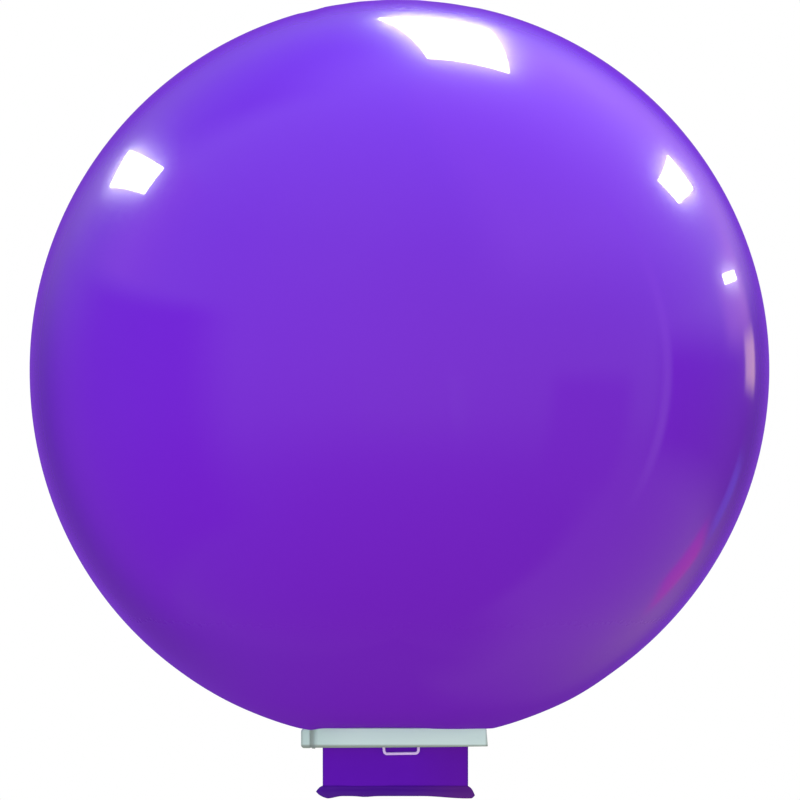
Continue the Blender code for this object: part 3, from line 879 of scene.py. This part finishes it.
    def build(self) -> None:
        """Make the shell: the outer skin, and an inner one set in along the normal."""
        outer, neck_share = self.outer_skin()
        up = np.gradient(outer, axis=0)
        around = np.roll(outer, -1, axis=1) - np.roll(outer, 1, axis=1)
        normal = np.cross(around, up)
        normal /= np.linalg.norm(normal, axis=2, keepdims=True)
        wall = self.film_wall + (self.neck.wall - self.film_wall) * neck_share
        inner = outer - normal * wall[:, :, None]
        coarse = inner[self.fine_inner_rows - 1 + self.inner_row_step :: self.inner_row_step]
        inner = np.concatenate((inner[: self.fine_inner_rows], coarse))
        mesh = PieceMesh()
        top = self.centre_z + self.radius
        outer_numbers = mesh.add_tube(outer)
        mesh.add_pole(outer_numbers[-1], (0, 0, top))
        hollow = mesh.add_tube(inner[:, ::-1])
        mesh.add_pole(hollow[-1], (0, 0, top - self.film_wall))
        mesh.add_band(outer_numbers[0][::-1], hollow[0])
        piece = mesh.build("blown_skin")
        dress(piece, self.finish, ["balloon_envelope"], Body.BALLOON)


@dataclass
class NeckFilm:
    """The flat neck: folded round the rib inside the clip, and hanging free below it."""

    neck: Neck
    folded_finish: LatexFinish
    free_finish: LatexFinish
    clip_bottom_z: float
    columns: int = 120
    spacing: float = 0.45 * MM
    fold_radius: float = 0.75 * MM
    joint_z: float = 52.6 * MM
    joint_overlap: float = 0.2 * MM
    fold_height: float = 4.25 * MM
    bend_start: float = 0.4 * MM
    bend_end: float = -4.5 * MM
    tuck: float = 3.0 * MM
    ripple_depth: float = 0.35 * MM
    ripple_fade: float = 30 * MM
    ripple_waves: Pairs = ((1.4, 0.2), (2.6, 1.7), (4.3, 0.9))

    def section(self, inset: float) -> tuple[Array, Array]:
        """Flat oval round the neck: x = A cos t, depth = B (1 - |cos t|^p)^(1/p).

        Args:
            inset: How far inside the outer surface it lies.

        Returns:
            Its x and its depth.
        """
        turn = full_turn(self.columns)
        cosine = np.sin(np.pi / 2 * np.cos(turn))
        reach, depth = self.neck.half_width - inset, self.neck.half_depth - inset
        height = super_oval(cosine, 24.0) * side_of(turn)
        return self.neck.centre_x + reach * cosine, depth * height

    def ripple(self, x: Array, z: Array) -> Array:
        """Slow waves of the free film, a sum of sin(n pi x / w + phase), growing downwards from the clip.

        Args:
            x: Places across the film.
            z: Their heights.

        Returns:
            How far the film moves along Y.
        """
        place = (x - self.neck.centre_x) / self.neck.half_width
        waves = 0.0
        for order, (count, phase) in enumerate(self.ripple_waves, 1):
            waves = waves + np.sin(count * math.pi * place + phase) / order
        free = smooth_step(z, self.clip_bottom_z, self.clip_bottom_z - self.ripple_fade)
        return self.ripple_depth * waves * free

    def tube(self, name: str, path: Array, normal: Array, rippled: bool) -> bpy.types.Object:
        """Flattened tube along a path in the YZ plane, with a slit inside it.

        Args:
            name: The piece's name.
            path: Points (y, z) down the neck.
            normal: Unit normals to the path.
            rippled: Whether the film waves.

        Returns:
            The piece.
        """
        mesh = PieceMesh()
        rings = []
        for inset in (0.0, self.neck.wall):
            x, depth = self.section(inset)
            across = np.broadcast_to(x, (len(path), len(x)))
            y = path[:, :1] + normal[:, :1] * depth[None, :]
            z = path[:, 1:] + normal[:, 1:] * depth[None, :]
            if rippled:
                y = y + self.ripple(across, z)
            rings.append(np.stack((across, y, z), axis=2))
        outer = mesh.add_tube(rings[0])
        inner = mesh.add_tube(rings[1][:, ::-1])
        mesh.add_band(outer[0][::-1], inner[0])
        mesh.add_band(outer[-1], inner[-1][::-1])
        return mesh.build(name)

    def build_folded(self) -> None:
        """The film inside the clip, with its two folds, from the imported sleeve's box."""
        low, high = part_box("neck_sleeve")
        front_y = low[1] + self.neck.half_depth
        rib_low, rib_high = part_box("clip_rear_arm")
        middle_z = (rib_low[2] + rib_high[2]) / 2
        fold_top, fold_bottom = middle_z + self.fold_height, middle_z - self.fold_height
        corners = [
            (0, high[2]),
            (0, fold_top),
            (front_y, fold_top),
            (front_y, fold_bottom),
            (0, fold_bottom),
            (0, self.joint_z + self.joint_overlap),
        ]
        path, normal = rounded_path(corners, self.fold_radius, self.spacing)
        piece = self.tube("folded_neck", path, normal, False)
        dress(piece, self.folded_finish, ["neck_sleeve"], Body.BALLOON)

    def build_free(self) -> None:
        """The film under the clip, down into the rolled mouth."""
        low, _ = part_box("neck_tail")
        ends = np.array([(0, self.joint_z), (0, low[2] - self.tuck)])
        path, normal = resampled(ends, self.spacing)
        piece = self.tube("free_neck", path, normal, True)
        dress(piece, self.free_finish, ["neck_tail"], None)
        start = (self.neck.centre_x, 0, self.clip_bottom_z + self.bend_start)
        end = (self.neck.centre_x, 0, self.clip_bottom_z + self.bend_end)
        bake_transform(piece)


@dataclass
class MouthBead:
    """The neck's rolled rim, pressed flat: two strands side by side that turn into each other.

    Seen from the front it is a band with a blunt left tip half-way up and a low right tip, and its
    lower edge lifts off in the middle and drops at both ends. upper_ends and lower_ends give the
    length and the power of the rounding at each edge's left and right end.
    """

    neck: Neck
    finish: LatexFinish
    top_lift: float = 0.2 * MM
    strand: float = 4.0 * MM
    end_strand: float = 7.0 * MM
    slit: float = 0.6 * MM
    left_tip_z: float = 6.6 * MM
    right_tip_z: float = 3.2 * MM
    upper_ends: Pairs = ((6.5 * MM, 1.35), (7.5 * MM, 1.5))
    lower_ends: Pairs = ((12 * MM, 1.4), (4.5 * MM, 2.2))
    arch: float = 2.3 * MM
    dent: float = 0.8 * MM
    top_taper: float = 0.6
    roll_depth: float = 0.09 * MM
    roll_count: float = 2.5
    stations: int = 420
    around: int = 40
    low_x: float = field(init=False)
    high_x: float = field(init=False)
    top_z: float = field(init=False)

    def __post_init__(self) -> None:
        """Take the band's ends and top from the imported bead."""
        low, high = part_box("mouth_bead")
        self.low_x, self.high_x, self.top_z = low[0], high[0], high[2] + self.top_lift

    def to_tips(self, x: Array, level: Array | float, ends: Pairs) -> list[Array]:
        """The level, led to the left tip and to the right tip by quarter ovals (1 - d^p)^(1/p).

        Args:
            x: Places along the band.
            level: Height between the two ends.
            ends: Length and power p of the left and of the right rounding.

        Returns:
            Two heights at each place: the one led to the left tip, and the one led to the right tip.
        """
        left, right = ends
        edges = []
        for start, tip_x, tip_z, power in (
            (self.low_x + left[0], self.low_x, self.left_tip_z, left[1]),
            (self.high_x - right[0], self.high_x, self.right_tip_z, right[1]),
        ):
            share = np.clip((x - start) / (tip_x - start), 0, 1)
            edges.append(tip_z + (level - tip_z) * super_oval(share, power))
        return edges

    def upper_edge(self, x: Array) -> Array:
        """Height of the band's upper edge: level, with a rounded shoulder down to each tip."""
        return np.minimum(*self.to_tips(x, self.top_z, self.upper_ends))

    def lower_edge(self, x: Array) -> Array:
        """Height of the band's lower edge: an arch with one dent, and a rounded foot at each end.

        Args:
            x: Places along the band.

        Returns:
            The height at each.
        """
        low, high = self.low_x, self.high_x
        middle = window(x, low + 11 * MM, low + 26 * MM, high - 52 * MM, high - 8 * MM)
        level = self.arch * middle - self.dent * bell(x, low + 48 * MM, 8 * MM)
        return np.maximum(*self.to_tips(x, level, self.lower_ends))

    def build(self) -> None:
        """Carry an oval section, grooved by the roll's turns, round the long flat loop."""
        turn, angle = full_turn(self.stations)[:, None], full_turn(self.around)[None, :]
        cosine, side = np.sin(np.pi / 2 * np.cos(turn)), side_of(turn)
        end_share = np.abs(cosine) ** 14
        thickness = self.strand + (self.end_strand - self.strand) * end_share
        middle_x = (self.low_x + self.high_x) / 2
        reach = (self.high_x - self.low_x - self.end_strand) / 2
        deep = (self.slit + self.strand) / 2 * super_oval(cosine, 8.0) * side
        out_x, out_y = end_share * np.sign(cosine), side * (1 - end_share)
        length = np.maximum(np.hypot(out_x, out_y), 1e-6)
        upright = np.sign(np.sin(angle)) * np.abs(np.sin(angle)) ** 0.85
        taper = 1 - self.top_taper * smooth_step(upright, -1.0, 1.2)
        outward = thickness / 2 * np.cos(angle)
        x = middle_x + cosine * reach + outward * out_x / length
        y = (deep + outward * out_y / length) * taper
        top, bottom = self.upper_edge(x), self.lower_edge(x)
        z = (top + bottom) / 2 + (top - bottom) / 2 * upright
        wander = 0.35 * np.sin(x / (17 * MM)) + 0.2 * np.sin(x / (7.3 * MM) + 1.1)
        roll = np.cos(FULL_TURN * self.roll_count * (upright + 0.25 * wander) / 2)
        y = y + np.sign(y) * self.roll_depth * roll * (1 - np.abs(upright) ** 6)
        mesh = PieceMesh()
        mesh.add_tube(np.stack((x, y, z), axis=2), closed=True)
        piece = mesh.build("rolled_mouth")
        dress(piece, self.finish, ["mouth_bead"], Body.TAIL)


# ---------------------------------------------------------------- the clip


@dataclass
class BarClip:
    """Hinged bar clip: a front arm with the hinge block, a rear arm with the rib, and their pin."""

    front_finish: MouldedPlasticFinish
    rear_finish: MouldedPlasticFinish
    pin_finish: MouldedPlasticFinish
    arm_edge: float = 0.22 * MM
    pin_edge: float = 0.08 * MM
    sharp_angle: float = 34.0

    def build(self) -> None:
        """Soften the edges of the three mouldings and dress them."""
        front = refined_copy("clip_front_arm", "front_arm", self.arm_edge, self.sharp_angle)
        rear = refined_copy("clip_rear_arm", "rear_arm_plate", self.arm_edge, self.sharp_angle)
        pin = refined_copy("hinge_pin", "hinge_pin_rod", self.pin_edge, self.sharp_angle)
        dress(front, self.front_finish, ["clip_front_arm"], Body.BALLOON)
        dress(rear, self.rear_finish, ["clip_rear_arm"], Body.REAR_ARM)
        dress(pin, self.pin_finish, ["hinge_pin"], Body.BALLOON)


@dataclass
class TieLoop:
    """Small bail under the front arm: one round rod from trunnion to trunnion."""

    finish: MouldedPlasticFinish
    rod: float = 1.4 * MM
    trunnion: float = 0.9 * MM
    corner: float = 3.0 * MM
    lean: float = 0.9 * MM
    tilt: float = 0.5 * MM
    leg_inset: float = 3.6 * MM
    neck_start: float = 1.9 * MM
    neck_end: float = 0.6 * MM
    spacing: float = 0.35 * MM
    around: int = 24

    def build(self) -> None:
        """Carry a circle along the bail's path, thinner in the two sockets, with rounded ends."""
        low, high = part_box("tie_loop")
        pivot_y, pivot_z = (low[1] + high[1]) / 2, high[2] - self.rod
        left, right = low[0] + self.leg_inset, high[0] - self.leg_inset
        bottom = low[2] + self.rod
        corners = [
            (low[0], pivot_z),
            (left, pivot_z),
            (left + self.lean, bottom),
            (right - 0.2 * self.lean, bottom + self.tilt),
            (right, pivot_z),
            (high[0], pivot_z),
        ]
        path, normal = rounded_path(corners, self.corner, self.spacing)
        end = np.minimum(path[:, 0] - low[0], high[0] - path[:, 0])
        thicker = smooth_step(end, self.leg_inset - self.neck_start, self.leg_inset - self.neck_end)
        radius = self.trunnion + (self.rod - self.trunnion) * thicker
        radius = radius * np.sqrt(np.clip(end / (0.4 * MM) + 0.25, 0, 1))
        angle = full_turn(self.around)[None, :]
        across = radius[:, None] * np.cos(angle)
        x = path[:, :1] + normal[:, :1] * across
        z = path[:, 1:] + normal[:, 1:] * across
        y = pivot_y + radius[:, None] * np.sin(angle)
        mesh = PieceMesh()
        rings = mesh.add_tube(np.stack((x, y, z), axis=2))
        mesh.add_pole(rings[0][::-1], (low[0], pivot_y, pivot_z))
        mesh.add_pole(rings[-1], (high[0], pivot_y, pivot_z))
        piece = mesh.build("tie_bail")
        dress(piece, self.finish, ["tie_loop"], Body.LOOP)


# ---------------------------------------------------------------- the studio


@dataclass(frozen=True)
class Lamp:
    """A rectangular lamp, either mirrored in the gloss only or lighting matt surfaces only.

    facing is the direction in which its back looks, away from the balloon, and width_way the direction
    of its width. Radiance is the brightness of its face.
    """

    name: str
    place: Point
    facing: Point
    width_way: Point
    width: float
    height: float
    radiance: float
    colour: Colour = (1.0, 1.0, 1.0)
    gloss_only: bool = True

    def build(self) -> None:
        """Make the lamp, unseen by the camera."""
        light = bpy.data.lights.new(self.name, "AREA")
        light.shape = "RECTANGLE"
        light.size = self.width
        light.size_y = self.height
        light.energy = 4 * self.width * self.height * self.radiance
        light.color = self.colour
        lamp = bpy.data.objects.new(self.name, light)
        back = Vector(self.facing).normalized()
        across = Vector(self.width_way)
        across = (across - back * across.dot(back)).normalized()
        turn = Matrix((across, back.cross(across), back)).transposed()
        lamp.matrix_world = Matrix.Translation(Vector(self.place)) @ turn.to_4x4()
        lamp.visible_camera = False
        lamp.visible_diffuse = not self.gloss_only
        lamp.visible_glossy = self.gloss_only
        bpy.context.collection.objects.link(lamp)


@dataclass(frozen=True)
class RoomPatch:
    """A soft-edged part of the room that the gloss mirrors, given by its directions in degrees.

    Azimuth 0 is +Y and 90 is +X; elevation is above the horizon. Softness is the width of the side
    edges, and level_softness that of the lower and upper edges.
    """

    azimuth: float
    half_azimuth: float
    elevation: float
    half_elevation: float
    softness: float
    level_softness: float
    colour: Colour
    strength: float


# Light by height, from straight down (0) through level (0.5) to straight up (1): the first falls on
# matt surfaces, and the second is what gloss mirrors.
MATT_LIGHT = ((0.0, (0.68, 0.62, 0.60)), (0.5, (0.80, 0.79, 0.74)), (1.0, (1.0, 1.05, 1.5)))
ROOM_LIGHT = (
    (0.0, (0.15, 0.10, 0.11)),
    (0.18, (0.19, 0.15, 0.16)),
    (0.26, (0.26, 0.21, 0.22)),
    (0.40, (0.52, 0.42, 0.46)),
    (0.52, (0.62, 0.50, 0.56)),
    (0.80, (0.70, 0.57, 0.70)),
    (1.0, (0.95, 0.78, 1.0)),
)


@dataclass
class Studio:
    """Pale floor, lamps, room light and camera."""

    lamps: list[Lamp]
    patches: list[RoomPatch]
    floor_finish: StageFinish = StageFinish()
    floor_size: float = 7.0
    floor_thickness: float = 0.02
    floor_drop: float = 0.6
    camera_distance: float = 6.0
    lens: float = 277.0
    camera_shift: Point = (0.5 * MM, 0.0, -0.7 * MM)

    def build_floor(self) -> None:
        """Round pale floor, well below the balloon's mouth."""
        turn = full_turn(96)
        rim = np.stack((np.cos(turn), np.sin(turn), np.zeros_like(turn)), axis=1) * self.floor_size / 2
        top, bottom = -self.floor_drop, -self.floor_drop - self.floor_thickness
        mesh = PieceMesh()
        rings = mesh.add_tube(np.stack((rim + (0, 0, top), rim + (0, 0, bottom))))
        mesh.add_pole(rings[0], (0, 0, top))
        mesh.add_pole(rings[1][::-1], (0, 0, bottom))
        floor = mesh.build("floor")
        floor.data.materials.append(self.floor_finish.build())
        floor.visible_diffuse = False
        floor.visible_glossy = False

    def build_room(self) -> None:
        """World light: white for the camera, a soft fall of light for matt surfaces, a room for gloss."""
        world = bpy.data.worlds.new("studio")
        world.use_nodes = True
        bpy.context.scene.world = world
        graph = ShaderGraph(world.node_tree)
        way = graph.output(graph.node("ShaderNodeTexCoord"), "Generated")
        x, y, z = graph.parts(way)
        matt = graph.ramp(z * 0.5 + 0.5, MATT_LIGHT)
        room = graph.ramp(z * 0.5 + 0.5, ROOM_LIGHT)
        to_degrees = 180 / math.pi
        azimuth = graph.math("ARCTAN2", x, y) * to_degrees
        elevation = graph.math("ARCSINE", z) * to_degrees
        for patch in self.patches:
            side = graph.within(azimuth, patch.azimuth, patch.half_azimuth, patch.softness)
            level = graph.within(elevation, patch.elevation, patch.half_elevation, patch.level_softness)
            room = graph.mix(side * level * patch.strength, room, patch.colour)
        path = graph.node("ShaderNodeLightPath")
        light = graph.mix(graph.output(path, "Is Diffuse Ray"), room, matt)
        light = graph.mix(graph.output(path, "Is Camera Ray"), light, (1.0, 1.0, 1.0))
        background = graph.node("ShaderNodeBackground", None, {"Color": light, "Strength": 1.0})
        graph.node("ShaderNodeOutputWorld", None, {"Surface": graph.output(background)})

    def build_camera(self) -> None:
        """Long lens, level, straight in front of the clip's plain face."""
        camera = bpy.data.objects.new("camera", bpy.data.cameras.new("camera"))
        camera.data.lens = self.lens
        camera.data.sensor_width = 36.0
        camera.data.clip_end = 100.0
        low, high = CAD_BOX
        middle = Vector((0.0, -self.camera_distance, (low[2] + high[2]) / 2))
        camera.location = middle + Vector(self.camera_shift)
        camera.rotation_euler = (math.pi / 2, 0, 0)
        bpy.context.collection.objects.link(camera)
        bpy.context.scene.camera = camera

    def build(self) -> None:
        """Set up the whole studio."""
        bpy.context.scene.view_settings.view_transform = "Standard"
        self.build_floor()
        self.build_room()
        for lamp in self.lamps:
            lamp.build()
            log.info("lamp %s", lamp.name)
        self.build_camera()


# ---------------------------------------------------------------- finishes and lights of this object


def film_finishes(neck: Neck) -> dict[str, LatexFinish]:
    """The latex of each part of the balloon: the blown skin is thin and bright, the rim thick and dark.

    Args:
        neck: The flat neck, whose side edges get painted shade and whose right half is tinted.

    Returns:
        The finishes, by the part's name.
    """
    low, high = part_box("balloon_envelope")
    tail_low, tail_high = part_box("neck_tail")
    left_x, right_x = neck.centre_x - neck.half_width, neck.centre_x + neck.half_width
    return {
        "skin": LatexFinish(
            # Painted light: the low colour is redder than the high one, for warmer light below and bluer
            # light above.
            "blown_latex", (0.168, 0.009, 0.57), (0.138, 0.009, 0.57), low[2], high[2],
            roughness=0.22, specular=0.09, dull_z=low[2], gloss_z=low[2] + 130 * MM, mottle=0.08,
        ),
        "folded": LatexFinish(
            "folded_latex", (0.12, 0.006, 0.44), (0.12, 0.006, 0.44), low[2], high[2],
            coat=0.3, coat_roughness=0.2,
        ),
        "free": LatexFinish(
            "free_latex", (0.118, 0.004, 0.46), (0.125, 0.005, 0.48), tail_low[2], tail_high[2],
            roughness=0.45, specular=0.05, coat=0.02, coat_roughness=0.25,
            mottle=0.16, mottle_scale=55.0, relief=0.05 * MM, relief_scale=120.0, grain=(1.0, 1.0, 0.35),
            right_colour=(0.118, 0.005, 0.39), right_start_x=0.0, right_end_x=right_x,
            # Painted shade on the free neck's two folded side edges.
            edge_low_x=left_x, edge_high_x=right_x, fold_edge_shade=0.35,
        ),
        "bead": LatexFinish(
            "rolled_latex", (0.062, 0.004, 0.24), (0.075, 0.005, 0.29), 0.0, tail_low[2],
            roughness=0.5, specular=0.12, coat=0.05, coat_roughness=0.3,
            mottle=0.3, mottle_scale=40.0, relief=0.08 * MM, relief_scale=160.0, grain=(0.3, 1.0, 1.0),
            right_colour=(0.105, 0.012, 0.21), right_start_x=neck.centre_x, right_end_x=right_x,
        ),
    }


def plastic_finishes() -> dict[str, MouldedPlasticFinish]:
    """The clip's pale grey-green plastic, its pin and the lilac-white loop.

    Returns:
        The finishes, by the piece's name.
    """
    low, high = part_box("clip_front_arm")
    span = {"start_x": low[0], "end_x": low[0] + 60 * MM}
    # In each finish the third colour is painted shade for the lower edge and the ends.
    return {
        "front": MouldedPlasticFinish(
            "pale_clip_plastic", (0.68, 0.895, 0.83), (0.83, 0.93, 0.91), (0.22, 0.25, 0.20),
            51.2 * MM, 2.6 * MM, **span, start_shade=0.86, left_x=low[0], right_x=high[0] - 0.6 * MM,
            # groove_shade paints shade in the hinge groove.
            groove_x=-87.1 * MM, groove_end_x=-78.6 * MM, groove_shade=0.66,
        ),
        "rear": MouldedPlasticFinish(
            "pale_rear_plastic", (0.64, 0.77, 0.78), (0.68, 0.79, 0.77), (0.42, 0.47, 0.40),
            51.0 * MM, 0.8 * MM, **span,
        ),
        "pin": MouldedPlasticFinish(
            "pin_plastic", (0.52, 0.60, 0.57), (0.55, 0.62, 0.57), (0.40, 0.45, 0.40),
            49.0 * MM, 1.0 * MM, **span, roughness=0.3,
        ),
        "loop": MouldedPlasticFinish(
            "lilac_loop_plastic", (0.77, 0.56, 1.0), (0.84, 0.64, 1.0), (0.66, 0.48, 0.92),
            42.0 * MM, 0.8 * MM, **span, roughness=0.22, coat=0.5, cloud=0.6, cloud_scale=120.0,
        ),
    }


def studio_lamps() -> list[Lamp]:
    """Three skylights and a slit of light that the gloss mirrors, and four wide fills for matt surfaces.

    Returns:
        The lamps.
    """
    mirrored = (
        ("skylight", (0.35, 1.2, 2.45), (-0.19, 0.155, 0.97), (0.95, 0.28, 0.14), 0.66, 1.23, 30.0),
        ("left_skylight", (-1.83, 1.09, 1.77), (0.15, 0.24, 0.96), (-0.25, -0.93, 0.27), 1.03, 0.50, 26.0),
        ("right_skylight", (1.86, 1.22, 1.68), (-0.1, 0.37, 0.92), (0.74, 0.65, -0.19), 0.42, 0.68, 26.0),
        ("side_slit", (1.63, 1.14, 0.88), (0.97, -0.24, 0.08), (0.24, 0.97, 0.08), 0.62, 0.05, 20.0),
    )
    fills = (
        ("low_fill", (0.3, -4.0, -0.35), (0.0, -1.0, -0.1), (1.0, 0.0, 0.0), 2.2, 1.2, 4.5),
        ("left_fill", (-4.0, -0.6, 0.6), (-1.0, -0.1, 0.0), (0.0, 1.0, 0.0), 2.5, 2.5, 1.5),
        ("top_fill", (1.4, 1.4, 3.6), (0.35, 0.35, 0.87), (1.0, 0.0, -0.4), 3.0, 3.0, 5.0),
        ("fill", (-1.5, -3.0, 3.2), (-0.36, -0.68, 0.64), (0.88, -0.47, 0.0), 2.5, 2.5, 0.6),
    )
    fill_colours = ((0.88, 1.0, 0.72), (0.30, 0.6, 1.0), (0.50, 0.35, 1.0), (1.0, 1.0, 1.0))
    lamps = [Lamp(*sizes) for sizes in mirrored]
    return lamps + [Lamp(*sizes, colour, False) for sizes, colour in zip(fills, fill_colours)]


def room_patches() -> list[RoomPatch]:
    """Walls, windows and floor of the room, as the glossy skin mirrors them.

    Returns:
        The patches, each laid over the ones before it.
    """
    patches = (
        (85, 62, 56, 30, 28, 28, (1.15, 0.80, 1.05), 0.9),
        (-60, 33, 30, 13, 26, 5, (0.85, 0.48, 0.60), 0.7),
        (-71, 48, -12, 28, 26, 7, (0.17, 0.07, 0.26), 0.9),
        (-2, 48, -45, 54, 24, 14, (0.07, 0.06, 0.06), 1.0),
        (60, 48, -42, 26, 16, 20, (0.44, 0.30, 0.32), 0.95),
        (118, 14, -16, 14, 8, 8, (0.28, 0.18, 0.24), 0.7),
        (64, 27, -6, 12, 10, 12, (0.08, 0.04, 0.06), 0.85),
        (-26, 40, 38, 30, 26, 26, (0.32, 0.26, 0.38), 0.9),
        (34, 13, 22, 12, 14, 12, (0.9, 0.5, 0.8), 0.45),
        (0, 26, 2, 26, 26, 26, (0.20, 0.06, 0.58), 1.0),
        (47, 10, 9, 5, 8, 6, (1.2, 0.62, 0.70), 0.6),
        (40, 4.5, 1.1, 2.8, 3, 3, (1.75, 1.15, 0.55), 0.9),
        (40, 5, -24, 5, 4, 4, (1.20, 0.10, 0.30), 0.7),
        (37, 3, -13, 4, 3, 4, (0.15, 0.20, 0.90), 0.7),
        (89.5, 1.8, 9, 32, 3, 24, (1.0, 0.66, 1.05), 0.75),
    )
    return [RoomPatch(*sizes) for sizes in patches]


def main() -> None:
    """Build the balloon's latex, the clip, the loop and the studio."""
    logging.basicConfig(level=logging.INFO, format="%(name)s: %(message)s")
    neck = Neck.from_frame()
    films = film_finishes(neck)
    plastics = plastic_finishes()
    _, arm_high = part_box("clip_front_arm")
    rear_low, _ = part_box("clip_rear_arm")
    BalloonSkin(neck, films["skin"], clip_top_z=arm_high[2]).build()
    neck_film = NeckFilm(neck, films["folded"], films["free"], clip_bottom_z=rear_low[2])
    neck_film.build_folded()
    neck_film.build_free()
    MouthBead(neck, films["bead"]).build()
    BarClip(plastics["front"], plastics["rear"], plastics["pin"]).build()
    TieLoop(plastics["loop"]).build()
    Studio(studio_lamps(), room_patches()).build()


if __name__ == "__main__":
    main()
